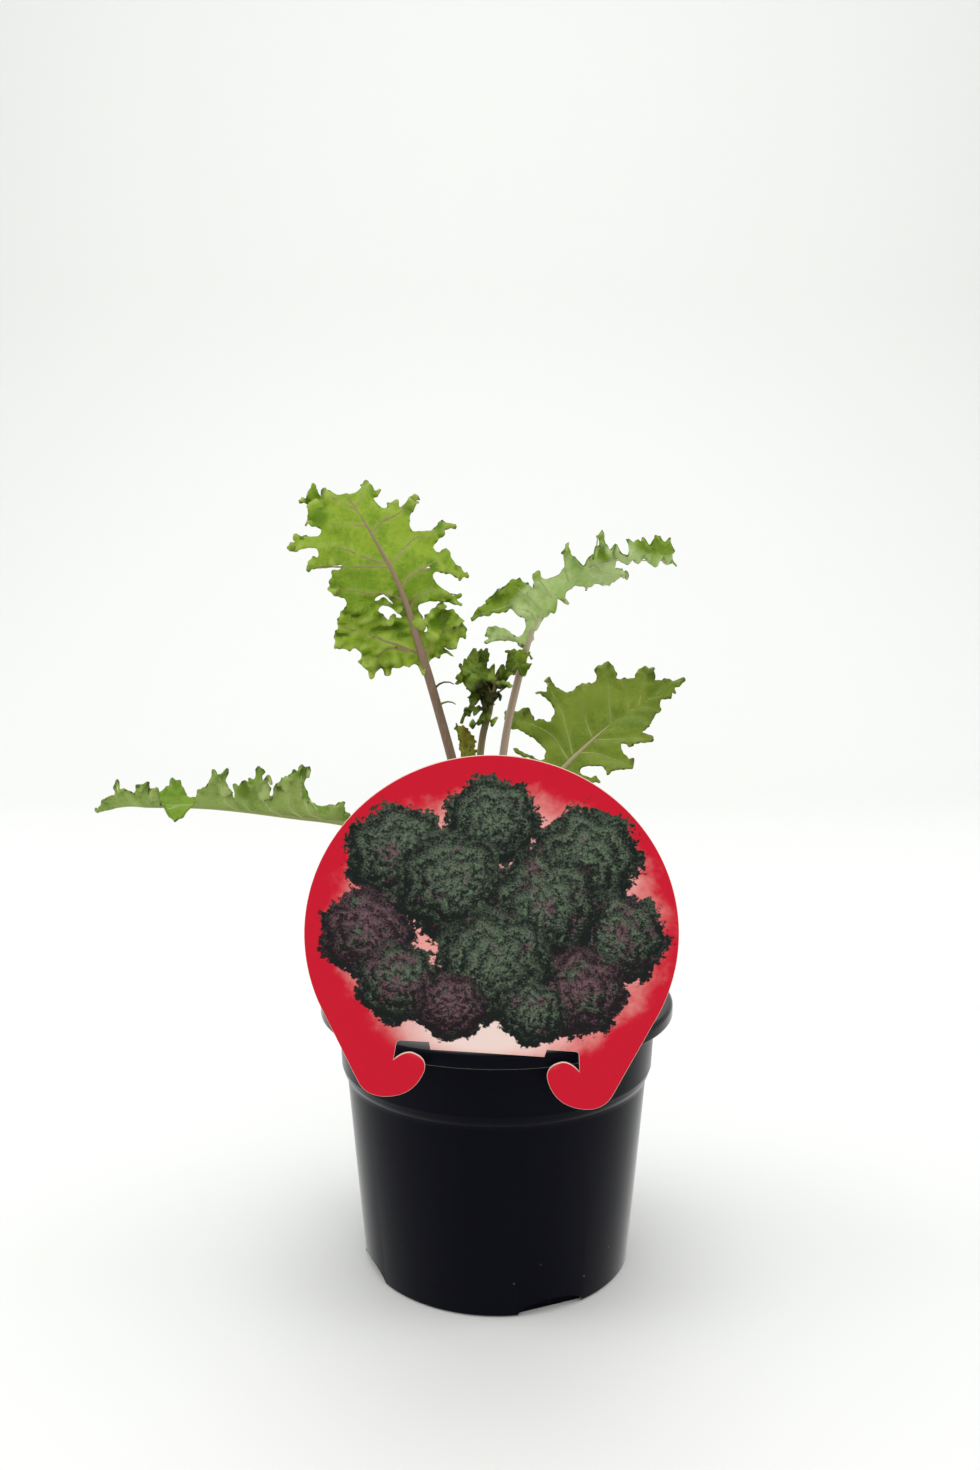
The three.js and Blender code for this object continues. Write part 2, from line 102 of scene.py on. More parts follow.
# The leaves. "stalk" is the stalk's radius, "rib" the middle rib's points, and "face" the direction of the
# upper face at the rib's two ends. The blade starts at "blade_start" along the rib and is drawn flat: for
# each side a line of (along the rib, out from the rib) from the stalk to the tip. "plus" is the side to the
# left of the rib as seen from the upper face's back. "holes" are closed lines cut through the blade, and
# "veins" each side's main veins. "lift" is how far a side is folded up from flat, in degrees, at shares of
# the rib's length. "frilly" and "dark" are round spots of strong frills and of deep colour with painted
# shade: along, out, radius and strength. In holes and spots an out below zero is on the minus side. "fine"
# is the size of the teeth and frills, "curl" their depth. "taper" says how fast the rib thins inside the
# blade, and "rib_end" where it stops.
FLATTISH = [(0, 8)]
LEAVES = {
    "leaf_upper_left": {
        "stalk": 1.3,
        "blade_start": 68,
        "rib": [(-5, -0.8, 111), (-7.6, -3, 119), (-9.8, -5, 136), (-13.6, -8, 153), (-20.5, -14, 179),
                (-26.6, -19, 199), (-33.2, -20, 212), (-39.4, -18, 222), (-44.5, -15.5, 229)],
        "face": [(0.1, 1, 0.15), (-0.2, 0.9, -0.35)],
        "lift": {"plus": FLATTISH, "minus": FLATTISH},
        "plus": [
            (67.5, 1.5), (70.5, 2), (71.5, 3), (71.5, 7), (71.5, 9.5), (70, 10.5), (72, 12), (72, 14),
            (70.5, 15.5), (72, 16), (74, 16), (75.5, 18), (77, 16.5), (79, 16), (81, 18), (80.5, 18.5),
            (81.5, 20.5), (82, 23), (84, 22), (86.5, 21.5), (88, 20), (90, 19.5), (92.5, 18), (94, 16),
            (95.5, 15), (97.5, 15), (99, 16.5), (102, 18), (103, 17), (104.5, 16), (106, 14), (105.5, 12),
            (106.5, 11), (107.5, 14), (109, 17), (109.5, 20), (110.5, 19.5), (112.5, 17), (111.5, 16),
            (112.5, 15), (114, 15), (115.5, 17), (116, 20), (117.5, 21), (118.5, 22), (118.5, 21),
            (119, 20), (118.5, 19), (120, 19), (120.5, 18), (119.5, 16), (118.5, 15.5), (117.5, 14.5),
            (117, 13), (117.5, 11.5), (118.5, 11), (120, 12), (120.5, 13), (122, 14), (123.5, 12),
            (125.5, 11), (126.5, 10.5), (126, 9), (127.5, 10), (128, 12), (128.5, 11), (129.5, 10),
            (129.5, 8), (130.5, 7), (131, 6), (130, 5.5), (129, 6), (127.5, 6), (128, 5), (128, 4),
            (126, 3.5), (124.5, 2),
        ],
        "minus": [
            (70.5, 1), (71, 3), (71, 5), (71.5, 7), (70.5, 8), (73, 6.5), (72, 9), (73.5, 10.5),
            (74.5, 12.5), (72.5, 14), (74, 13.5), (75.5, 13.5), (76.5, 14.5), (79, 14), (80.5, 13),
            (82.5, 12), (82.5, 10.5), (85, 10), (84.5, 7.5), (84, 5), (82.5, 3), (84.5, 3), (86, 3),
            (87, 4), (87.5, 5), (86, 9), (84.5, 12), (83.5, 14), (83, 15), (84.5, 14), (84.5, 16),
            (85.5, 16), (85.5, 14), (87, 12.5), (89, 11), (91, 10), (93, 10), (93.5, 11), (92.5, 13),
            (91.5, 15), (90, 16.5), (88.5, 17.5), (89.5, 18), (89, 20), (90, 20), (90, 19), (92, 18.5),
            (94.5, 17), (97.5, 17.5), (97, 15), (97.5, 14), (99, 14), (100, 16), (100.5, 19),
            (101.5, 19.5), (101, 22), (101, 23), (102, 22), (104, 21), (103, 20), (104, 19), (103, 17),
            (103, 15), (104.5, 12.5), (105.5, 11), (107.5, 11), (110, 12.5), (111, 14), (112, 16),
            (112.5, 17), (114, 17), (114, 18.5), (115, 16.5), (114.5, 15), (114, 14), (113.5, 12),
            (113.5, 11), (115, 11), (116, 10), (116, 9), (114.5, 8), (114.5, 7), (116, 6), (118, 6),
            (119.5, 6.5), (119, 8), (120, 9), (121, 8), (123.5, 8), (125, 7.5), (124.5, 6), (123, 5),
            (122.5, 3), (123, 0.5),
        ],
        "holes": [
            [(93.5, 5), (92, 4), (89, 3), (90.5, 4), (92.5, 5), (92, 7), (92.5, 8), (93.5, 7)],
            [(90.5, 6), (89, 4.5), (87, 3), (85, 2), (85.5, 4), (86.5, 3.5), (87, 5), (86, 6.5), (88, 7.5),
             (90, 8)],
            [(79, -2), (80.5, -3), (81, -4), (80, -3.5)],
            [(95, -9), (95.6, -9.6), (95, -10.4), (94.4, -9.8)],
        ],
        "veins": {
            "plus": [
                [(100.5, 0), (106.5, 6), (112, 10), (115.5, 16), (118, 20.5)],
                [(89.5, 0), (93.5, 4), (96, 9), (99, 13), (101, 17)],
                [(99.5, 0), (102, 4.5), (106, 11.5), (109.5, 19)],
                [(112.5, 0), (115, 3.5), (117.5, 8), (122, 10)],
                [(73, 0), (77, 4), (80, 8.5), (84.5, 14), (88, 19)],
                [(75, 2), (78, 9), (76, 12), (72, 15)],
                [(118, 0), (123, 3), (127, 5)],
            ],
            "minus": [
                [(110, 0), (111.5, 4), (112.5, 7.5), (115.5, 10)],
                [(111.5, 4), (111.5, 10), (113, 14.5), (114, 18)],
                [(100, 0), (101.5, 5), (103.5, 10), (102.5, 15), (101.5, 21.5)],
                [(93, 0), (95.5, 3), (95, 9), (93.5, 14), (89.5, 18)],
                [(86.5, 0), (89.5, 3), (89.5, 8), (87.5, 11.5), (85.5, 15)],
                [(72, 0), (74.5, 3), (77, 7), (77, 13)],
                [(119, 0), (120.5, 4), (124, 7)],
                [(95.5, 7), (95.5, 12.5), (97, 17)],
            ],
        },
        "curl": 1.1,
        "frilly": [
            (128, 9, 6, 1.6), (115, -14, 5, 1.4), (78, -9, 9, 2.2), (80, 14, 12, 2.0), (86, 5, 6, 2.0),
        ],
        "dark": [
            (121.5, 10, 3.5, 0.9), (111.5, -12.5, 2.5, 0.8), (103.5, -18.5, 2.5, 0.8), (95, -11, 2.2, 0.9),
            (83, 4, 2.2, 0.9), (81, -6, 2.5, 0.9), (72, -7, 2, 0.7), (129, 7, 2.5, 0.6), (86, 14, 2.5, 0.5),
        ],
        "fine": 1,
        "taper": 1.05,
        "rib_end": 123.3,
    },
    "leaf_upper_right": {
        "stalk": 1.08,
        "blade_start": 71,
        "rib": [(-3.2, -0.2, 112), (-1, -3, 119.5), (2, -5, 153), (6, -5.5, 173), (10, -7.5, 187),
                (15, -12, 196), (23, -15, 204), (33, -17, 207), (41, -18, 207), (47, -18, 207)],
        "face": [(-0.3, 0.9, 0.3), (0, 0.55, 0.85)],
        "lift": {"plus": [(0.5, 12), (1, 20)], "minus": [(0.5, 12), (1, 10)]},
        "plus": [
            (72, 0.5), (72.5, 2), (73.5, 3), (73.5, 5), (73, 7.5), (72, 10), (71, 12), (72.5, 11), (73, 13),
            (74.5, 12), (75.5, 10.5), (76, 8), (75.5, 6), (75, 4), (75, 3), (76, 2), (78, 2), (80, 3),
            (81, 4), (81.5, 6), (81, 9), (79.5, 12), (78, 14), (76.5, 16), (76, 18), (77.5, 17), (79, 17),
            (80, 16), (80.5, 15), (81, 16), (82, 15.5), (83, 13.5), (84, 14), (85.5, 13.5), (86, 13),
            (88, 12.5), (89, 12), (89, 10.5), (89.5, 8.5), (89, 7), (88.5, 6), (90, 7), (91.5, 8.5),
            (92, 9.5), (93, 9), (93, 7.5), (92.5, 6.5), (93, 5), (94.5, 3.5), (96, 3), (98, 4), (99.5, 6),
            (100, 8), (100.5, 9), (101.5, 10), (101.5, 9), (101, 6.5), (101, 5), (101.5, 3), (103.5, 2),
            (105, 2.5), (105.5, 4.5), (106.5, 5.5), (107.5, 5), (108, 8), (107.5, 10), (108.5, 10.5),
            (109, 9), (109, 6.5), (109.5, 4), (111.5, 3.5), (112.5, 2), (114.5, 3), (114.5, 5), (116, 6),
            (117.5, 5.5), (118, 7), (120, 6), (121, 6), (121.5, 7), (122, 8), (122.5, 7), (124.5, 7),
            (126, 5), (126.5, 3),
        ],
        "minus": [
            (73, 0.5), (75.5, 1), (78, 1), (80, 1), (82.5, 2), (84, 2), (84, 3), (86, 3), (88.5, 4),
            (90, 6), (91.5, 4), (93.5, 3), (94, 3), (96.5, 5), (98, 6.5), (98, 9), (100, 8.5), (103, 10),
            (105.5, 12.5), (105.5, 15), (107.5, 12.5), (110, 10), (111.5, 10), (114, 9), (113, 6.5),
            (112, 4.5), (110, 3), (111, 1.5), (112.5, 1), (114.5, 1), (119.5, 0.8), (123, 1), (124.5, 2),
            (126.5, 2.5), (125.5, 0.8), (128, 1), (126.5, 0.2),
        ],
        "holes": [],
        "veins": {
            "plus": [
                [(73.5, 0), (74.5, 4.5), (74, 9), (73, 12)], [(81.5, 0), (84, 4.5), (82, 10), (77.5, 16)],
                [(85, 0), (87, 6), (87.5, 11)], [(90, 0), (91.5, 5), (92.5, 9)],
                [(96.5, 0), (98, 3.5), (101, 8.5)], [(102.5, 0), (105, 1.5), (108, 8.5)],
                [(114, 0), (115.5, 3.5), (116.5, 5)],
            ],
            "minus": [[(101, 0), (103, 5.5), (106.5, 13)], [(104, 0), (107.5, 4), (113, 7)]],
        },
        "curl": 1.1,
        "frilly": [(82, 13, 8, 2.0), (103, 5, 5, 1.6), (108, 4, 5, 1.6), (120, 4, 8, 1.8), (87, -4, 4, 1.5)],
        "dark": [
            (80, 14, 5, 0.9), (76.5, 15, 4, 0.9), (85, 12.5, 3.5, 0.9), (88.5, 11, 2.5, 0.9),
            (101, 8, 2.6, 0.8),
            (107.5, 8, 2.6, 0.9), (104, 4, 2.4, 0.9), (108, 1.5, 2.4, 0.9), (118, 6, 3.5, 0.9),
            (122, 5.5, 3.5, 0.9), (126, 4, 3, 0.9), (87, -4, 3.5, 0.9), (92.5, 8, 2, 0.7),
        ],
        "fine": 1,
        "taper": 4,
        "rib_end": 126,
    },
    "leaf_right": {
        "stalk": 1.12,
        "blade_start": 37,
        "rib": [(-4, 1, 112), (-1, 3, 120), (9, 6, 133), (21, 12, 146), (35, 18, 158), (46, 21, 165),
                (58, 22, 172)],
        "face": [(-0.25, -0.85, 0.45), (-0.15, -0.85, 0.5)],
        "lift": {"plus": FLATTISH, "minus": FLATTISH},
        "plus": [
            (37, 1), (38.5, 5), (40.5, 7), (42.5, 9), (45.5, 11.5), (46.5, 12.5), (47, 10), (45.5, 9),
            (45, 7.5), (45, 5.5), (46.5, 4), (48, 5), (49.5, 6.5), (51.5, 9), (51, 11), (50.5, 12.5),
            (53, 13), (54, 14), (56.5, 16), (58.5, 16), (59, 15), (59, 13), (59, 11), (60, 9), (61.5, 7.5),
            (62.5, 9), (62.5, 11), (64.5, 11), (67.5, 12), (69.5, 13), (71.5, 13), (71.5, 11.5), (70, 10),
            (69.5, 9), (72.5, 8.5), (75.5, 7), (78, 6), (80, 5), (80.5, 3.5), (82, 2), (83, 3), (84.5, 4),
            (86, 2), (86.5, 3), (87.5, 1), (88.5, 1.4), (90.5, 1),
        ],
        "minus": [
            (36, 1), (38, 5), (39, 7), (39.5, 10), (38.5, 12), (38, 15), (38.5, 16), (39, 14.5),
            (39.5, 12), (40, 10), (40.5, 7), (42, 6), (42.5, 7), (44, 7.5), (44.5, 10), (44.5, 13),
            (44, 17), (43.5, 19.5), (42.5, 21), (43, 23), (44, 25), (45, 26), (46.5, 24), (48, 22.5),
            (49, 22), (49.5, 21), (49.5, 19), (48.5, 17), (50, 16), (50.5, 14), (51.5, 13), (52.5, 14),
            (54, 14), (55.5, 16), (56, 19), (55.5, 21.5), (55, 24), (57, 21), (58.5, 22.5), (59.5, 23),
            (59.5, 25), (60.5, 24.5), (60.5, 23), (60, 21), (60.5, 19), (61, 17), (62.5, 16), (64, 16),
            (66, 16), (67.5, 15), (67.5, 14), (69, 14), (70, 15), (70.5, 17), (71.5, 18), (73, 17.5),
            (74, 18), (75, 16.5), (75.5, 15), (75, 12.5), (74, 11), (76, 10), (77.5, 9), (79, 8),
            (79.5, 9), (81.5, 10), (83.5, 9.5), (85, 8), (84.5, 6), (83.5, 4), (85.5, 3), (87.5, 2.5),
            (88, 1), (89.5, 1), (92, 0.2),
        ],
        "holes": [],
        "veins": {
            "plus": [
                [(50, 0), (53, 3), (55, 8), (58, 15)], [(56, 0), (60, 4), (64.5, 8), (70.5, 12.5)],
                [(66, 0), (71, 1.5), (74, 5)], [(72, 0), (76.5, 1.5), (80, 5)], [(78.5, 0), (82, 1), (85, 2)],
            ],
            "minus": [
                [(48, 0), (52.5, 7), (56, 13), (58, 19.5), (59.5, 24.5)],
                [(46, 0), (49, 9), (47.5, 16.5), (44.5, 24)], [(56.5, 0), (59.5, 6), (63, 12), (66, 15)],
                [(64.5, 0), (67.5, 5), (71.5, 11), (73.5, 17)], [(71, 0), (74.5, 5), (75.5, 9.5)],
                [(75, 0), (79, 4), (83.5, 9)], [(81.5, 0), (85.5, 1), (88.5, 1)],
            ],
        },
        "curl": 0.7,
        "frilly": [(44, 9, 5, 1.2), (46, -23, 5, 1.2), (84, -7, 5, 1.2)],
        "dark": [(50, -12, 6, 0.5), (44, -14, 5, 0.45), (60, 6, 6, 0.45), (57, -21, 2, 0.7)],
        "fine": 1,
        "taper": 1.7,
        "rib_end": 91,
    },
    "leaf_left": {
        "stalk": 1.4,
        "blade_start": 48,
        "rib": [(-4.5, 0.8, 106), (-8.5, 1.2, 113), (-23, 0.6, 125.6), (-45, 0, 131), (-60, -1, 133),
                (-76, -2, 135), (-88, -3, 136), (-102, -3, 136), (-109, -2, 136), (-119, 0, 134)],
        "face": [(0, -0.1, 1), (0, -0.15, 1)],
        "lift": {
            "plus": [(0, 35), (1, 35)],
            "minus": [(0, 75), (0.745, 75), (0.772, -50), (0.81, -50), (0.828, 75), (1, 75)],
        },
        "plus": [
            (48, 1), (51, 5), (54, 7), (57, 5), (60, 6), (63, 10), (65, 15), (66, 17), (68, 16), (70, 13),
            (71, 8), (73, 6), (76, 11), (78, 13), (80, 12), (81, 8), (83, 4), (86, 3), (88, 3), (90, 4),
            (92, 4), (94, 3), (97, 4), (100, 9), (103, 10), (105, 6), (108, 5), (111, 8), (113, 8),
            (115, 4), (118, 5), (120, 3), (123, 2), (124.5, 0.5),
        ],
        "minus": [
            (48, 1), (50.5, 3), (51, 5), (51.5, 7.5), (54, 7), (56, 5), (55.5, 3.5), (58, 4), (61.5, 6),
            (63.5, 9), (63, 13), (62, 14), (61.5, 16), (63.5, 16), (64.5, 17), (65.5, 15), (66.5, 15),
            (68.5, 14), (69, 13), (71, 11), (71.5, 9), (72, 5), (72.5, 7), (73, 10), (74, 11), (72, 12),
            (73.5, 13), (74.5, 12), (75.5, 12.5), (75, 14), (76, 14), (77, 13), (77, 10.5), (79.5, 10),
            (83, 9), (82.5, 5.5), (83.5, 4.5), (84, 8.5), (85.5, 10), (85.5, 13), (86.5, 13.5),
            (87.5, 12.5), (88.5, 13), (89.5, 11), (90, 9), (93, 6), (94, 3), (95.5, 3), (97, 4.5), (98.5, 6),
            (100, 5), (102, 3.5), (103, 3), (103, 4.5), (103.5, 6), (104, 8), (105.5, 7.5), (106, 6),
            (106.5, 7), (106.5, 9), (108, 9), (108.5, 8), (110, 7), (110.5, 6), (111, 4.5), (113, 6),
            (113, 7.5), (114, 8), (115.5, 8), (116, 5), (119, 5), (121.5, 3), (124.5, 1),
        ],
        "holes": [],
        "veins": {
            "plus": [
                [(56, 0), (62, 8), (65, 14)], [(70, 0), (76, 8), (79, 14)], [(82, 0), (88, 7), (90, 12)],
            ],
            "minus": [
                [(56, 0), (61, 4), (64, 9), (64, 15)], [(62, 0), (67, 5), (67.5, 13)],
                [(68, 0), (74, 5), (75, 12)],
                [(76, 0), (80, 4), (81, 8)], [(81, 0), (86, 4), (87, 12)], [(99, 0), (103, 3), (105, 6)],
                [(108, 0), (112, 3), (114, 7)],
            ],
        },
        "curl": 0.9,
        "frilly": [
            (64, -14, 6, 1.6), (76, -12, 6, 1.8), (87, -11, 6, 1.6), (105, -7, 5, 1.2), (115, -7, 4, 1.2),
        ],
        "dark": [(64, -15, 2.5, 0.7), (76, -13, 2.5, 0.7), (80, -8, 3, 0.9), (87, -12, 2.5, 0.7)],
        "fine": 1,
        "taper": 0.9,
        "rib_end": 123.5,
    },
    "leaf_centre": {
        "stalk": 1.0,
        "blade_start": 44,
        "rib": [(-4.2, -0.5, 118), (-4.4, -1.6, 127), (-5, -6, 147), (-4, -10, 158), (-2, -13, 165),
                (-1, -14.5, 171), (0, -14.5, 175), (1, -12, 178)],
        "face": [(0, -0.9, 0.3), (0, -0.9, 0.3)],
        "lift": {"plus": FLATTISH, "minus": FLATTISH},
        "plus": [
            (46.5, 0.6), (46.5, 1), (46.6, 2), (47.5, 2.7), (47.5, 1), (48.5, 0.5), (52.5, 0.5), (53, 1),
            (53.2, 1.8), (54, 3), (55, 1.8), (54.6, 0.8), (55.5, 0.6), (56.5, 1), (57, 2.5), (58, 5),
            (58.5, 4), (58.5, 2.5), (59.5, 2), (60, 3), (62.5, 6), (63, 8), (64, 8), (65.5, 8.5), (66.5, 7),
            (68, 6.5), (69, 7), (68.5, 8), (69.5, 7), (70, 6), (70, 5), (70.5, 3), (69.5, 2), (69, 0.5),
            (68, 1), (66.5, 2), (64.5, 1.5), (63, 2), (62.5, 1),
        ],
        "minus": [
            (44, 0.6), (44.5, 2), (43.5, 3), (43, 4.2), (43.9, 4), (45, 2.4), (45.5, 1), (46.5, 1), (46, 2.2),
            (47.5, 2), (48.2, 2.2), (48.2, 3.5), (47.5, 5), (45.5, 5.2), (46, 6), (45, 6.7), (46.5, 7),
            (47.5, 6.5), (48.5, 7), (50, 6), (51, 6), (50.5, 5), (49.8, 3.6), (50, 2.2), (51.5, 3), (52, 4.5),
            (52, 6), (52.5, 7), (53.5, 6), (54, 6.5), (55, 7), (55.5, 8), (56, 9), (55.5, 11.2), (56.5, 10),
            (57, 11), (58, 10), (58.5, 10), (59, 11), (59.5, 10), (60.5, 10), (62.5, 9.5), (64, 8), (65, 7),
            (66, 6), (66, 5), (65.5, 4), (63.5, 4), (61.5, 4), (60.5, 3), (60.8, 1.5),
        ],
        "holes": [],
        "veins": {
            "plus": [[(54, 0), (56, 2), (58, 4)], [(56, 0), (60, 3), (66, 6)]],
            "minus": [[(54, 0), (58, 4), (62, 8)], [(52, 0), (54, 4), (56, 9)], [(48, 0), (50, 3), (48, 6)]],
        },
        "curl": 1.5,
        "frilly": [(56, 3, 8, 2.2), (62, -7, 8, 1.8), (48, -5, 5, 1.5)],
        "dark": [
            (54, 0, 3.4, 1), (55.5, -3.5, 2.6, 0.8), (57, 2.5, 2, 0.6), (50, -2, 2.5, 0.7), (62, -2, 2, 0.5),
        ],
        "fine": 0.6,
        "taper": 0.9,
        "rib_end": 61,
    },
    "leaf_bud": {
        "stalk": 0.9,
        "blade_start": 24,
        "rib": [(-5.6, 2, 118.5), (-7, 1.2, 126), (-8, -0.6, 139), (-9.4, -1, 150), (-10.4, -0.5, 158)],
        "face": [(0.5, -0.9, 0), (0.6, -0.8, 0)],
        "lift": {"plus": [(0, 25)], "minus": [(0, 25)]},
        "plus": [
            (24, 1), (28, 2), (31, 2.6), (33, 3.2), (33.6, 3.8), (34.2, 3.2), (35.5, 3.4), (37, 3.8),
            (38.5, 3), (40, 2), (41.5, 0.8),
        ],
        "minus": [
            (24, 1), (28, 1.6), (33.5, 1.6), (37.5, 1.6), (40.5, 2), (41.5, 3.2), (42.5, 2.5), (41.6, 1.2),
        ],
        "holes": [],
        "veins": {"plus": [[(28, 0), (33, 1.5), (37, 2.8)]], "minus": []},
        "curl": 0.45,
        "frilly": [],
        "dark": [],
        "fine": 0.6,
        "taper": 0.9,
        "rib_end": 40,
    },
}

# Threads of leaf that stand off a stalk.
WISPS = {
    "leaf_upper_left": [
        [(-17.8, -12.4, 171.2), (-16.4, -13, 172.6), (-15, -13.4, 173.2), (-13.4, -13.4, 173.2),
         (-12.2, -13, 172.6)],
        [(-16.6, -11.6, 166.4), (-15.4, -12, 167.2), (-14, -12.4, 167.6), (-12.6, -12.4, 167.4),
         (-11.8, -12, 166.8)],
    ],
}


# Shader expressions


class Sock:
    """A shader socket that takes part in arithmetic; each operation adds a Math node."""

    def __init__(self, shade, socket):
        self.shade = shade
        self.socket = socket

    def _maths(self, operation, first, second=None):
        values = {0: first}
        if second is not None:
            values[1] = second
        return self.shade.node("ShaderNodeMath", {"operation": operation}, values)

    def __add__(self, other):
        return self._maths("ADD", self, other)

    def __radd__(self, other):
        return self._maths("ADD", other, self)

    def __sub__(self, other):
        return self._maths("SUBTRACT", self, other)

    def __rsub__(self, other):
        return self._maths("SUBTRACT", other, self)

    def __mul__(self, other):
        return self._maths("MULTIPLY", self, other)

    def __rmul__(self, other):
        return self._maths("MULTIPLY", other, self)

    def __truediv__(self, other):
        return self._maths("DIVIDE", self, other)

    def __pow__(self, other):
        return self._maths("POWER", self, other)

    def sine(self):
        return self._maths("SINE", self)


class Shade:
    """One material: its nodes, the helpers that add them, and its surface shader."""

    def __init__(self, name, **constants):
        self.material = bpy.data.materials.new(name)
        self.material.use_nodes = True
        self.tree = self.material.node_tree
        self.surface = self.tree.nodes["Principled BSDF"]
        for socket, value in constants.items():
            self.surface.inputs[socket.replace("_", " ")].default_value = value

    def node(self, kind, settings=None, values=None, output=0):
        made = self.tree.nodes.new(kind)
        for key, value in (settings or {}).items():
            setattr(made, key, value)
        for key, value in (values or {}).items():
            self.feed(made.inputs[key], value)
        return Sock(self, made.outputs[output])

    def feed(self, socket, value):
        if isinstance(value, Sock):
            self.tree.links.new(value.socket, socket)
        elif isinstance(value, (tuple, list)) and len(value) == 3 and socket.type == "RGBA":
            socket.default_value = (*value, 1)
        else:
            socket.default_value = value

    def place(self):
        return self.node("ShaderNodeTexCoord", output="Object")

    def map(self):
        return self.node("ShaderNodeUVMap", {"uv_map": "flat"})

    def attribute(self, name):
        return self.node("ShaderNodeAttribute", {"attribute_name": name}, output="Fac")

    def noise(self, at, scale, detail=3.0, rough=0.5, warp=0.0):
        values = {"Vector": at, "Scale": scale, "Detail": detail, "Roughness": rough, "Distortion": warp}
        return self.node("ShaderNodeTexNoise", None, values)

    def cells(self, at, scale, feature="F1"):
        values = {"Vector": at, "Scale": scale}
        return self.node("ShaderNodeTexVoronoi", {"feature": feature}, values, output="Distance")

    def steps(self, value, low, high):
        values = {"Value": value, "From Min": low, "From Max": high}
        return self.node("ShaderNodeMapRange", {"interpolation_type": "SMOOTHSTEP"}, values)

    def mix(self, share, first, second):
        values = {0: share, 6: first, 7: second}
        return self.node("ShaderNodeMix", {"data_type": "RGBA"}, values, output=2)

    def parts(self, vector):
        made = self.tree.nodes.new("ShaderNodeSeparateXYZ")
        self.tree.links.new(vector.socket, made.inputs[0])
        return [Sock(self, made.outputs[i]) for i in range(3)]

    def bump(self, height, distance_mm, strength=1.0):
        values = {"Height": height, "Distance": distance_mm * MM, "Strength": strength}
        return self.node("ShaderNodeBump", None, values)

    def finish(self, **links):
        for socket, value in links.items():
            self.feed(self.surface.inputs[socket.replace("_", " ")], value)
        return self.material


# Mesh helpers


def new_piece(name, points, faces, materials, indices=None, smooth=True):
    """A mesh object at the origin; points are in millimetres."""
    mesh = bpy.data.meshes.new(name)
    mesh.from_pydata([tuple(MM * c for c in p) for p in points], [], faces)
    for material in materials:
        mesh.materials.append(material)
    if indices is not None:
        mesh.polygons.foreach_set("material_index", indices)
    mesh.polygons.foreach_set("use_smooth", [smooth] * len(mesh.polygons))
    mesh.update()
    piece = bpy.data.objects.new(name, mesh)
    bpy.context.scene.collection.objects.link(piece)
    return piece


def bake_modifiers(piece):
    """Turns the piece's modifiers into its plain mesh."""
    graph = bpy.context.evaluated_depsgraph_get()
    graph.update()
    mesh = bpy.data.meshes.new_from_object(piece.evaluated_get(graph))
    piece.modifiers.clear()
    old = piece.data
    piece.data = mesh
    bpy.data.meshes.remove(old)
    return piece


def settle(piece, node):
    """The piece hides the imported part it stands for and rides on the object."""
    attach(piece, BODY)
    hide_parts(node)
    return piece


def turned(profile, sides):
    """Points and faces of a profile turned round Z; the profile starts and ends on the axis."""
    points = [(0, 0, profile[0][1])]
    rings = profile[1:-1]
    for radius, height in rings:
        for i in range(sides):
            turn = 2 * math.pi * i / sides
            points.append((radius * math.cos(turn), radius * math.sin(turn), height))
    points.append((0, 0, profile[-1][1]))
    last = len(points) - 1
    faces = []
    for i in range(sides):
        j = (i + 1) % sides
        faces.append((0, 1 + j, 1 + i))
        for ring in range(len(rings) - 1):
            low = 1 + ring * sides
            faces.append((low + i, low + j, low + sides + j, low + sides + i))
        top = 1 + (len(rings) - 1) * sides
        faces.append((top + i, top + j, last))
    return points, faces


def face_outwards(piece):
    """Turns a closed mesh's faces outwards."""
    work = bmesh.new()
    work.from_mesh(piece.data)
    bmesh.ops.recalc_face_normals(work, faces=work.faces)
    work.to_mesh(piece.data)
    work.free()
    return piece


# Geometry node trees


class Tree:
    """A geometry node tree with named inputs; its result always ends in real faces with a finish."""

    def __init__(self, name, **inputs):
        self.group = bpy.data.node_groups.new(name, "GeometryNodeTree")
        face = self.group.interface
        face.new_socket("Geometry", in_out="INPUT", socket_type="NodeSocketGeometry")
        for label, kind in inputs.items():
            face.new_socket(label, in_out="INPUT", socket_type="NodeSocket" + kind)
        face.new_socket("Finish", in_out="INPUT", socket_type="NodeSocketMaterial")
        face.new_socket("Geometry", in_out="OUTPUT", socket_type="NodeSocketGeometry")
        self.given = self.group.nodes.new("NodeGroupInput").outputs

    def node(self, kind, values, **settings):
        made = self.group.nodes.new(kind)
        for key, value in settings.items():
            setattr(made, key, value)
        for key, value in values.items():
            if isinstance(value, bpy.types.NodeSocket):
                self.group.links.new(value, made.inputs[key])
            else:
                made.inputs[key].default_value = value
        return made.outputs

    def close(self, geometry):
        real = self.node("GeometryNodeRealizeInstances", {"Geometry": geometry})
        dressed = self.node("GeometryNodeSetMaterial", {
            "Geometry": real[0], "Material": self.given["Finish"]})
        self.node("NodeGroupOutput", {"Geometry": dressed[0]})
        return self.group


def run_tree(piece, group, **values):
    """Puts a tree on a piece, sets its inputs by name and turns the result into the piece's plain mesh."""
    nodes = piece.modifiers.new(group.name, "NODES")
    nodes.node_group = group
    for item in group.interface.items_tree:
        if item.in_out == "INPUT" and item.name in values:
            nodes[item.identifier] = values[item.name]
    return bake_modifiers(piece)


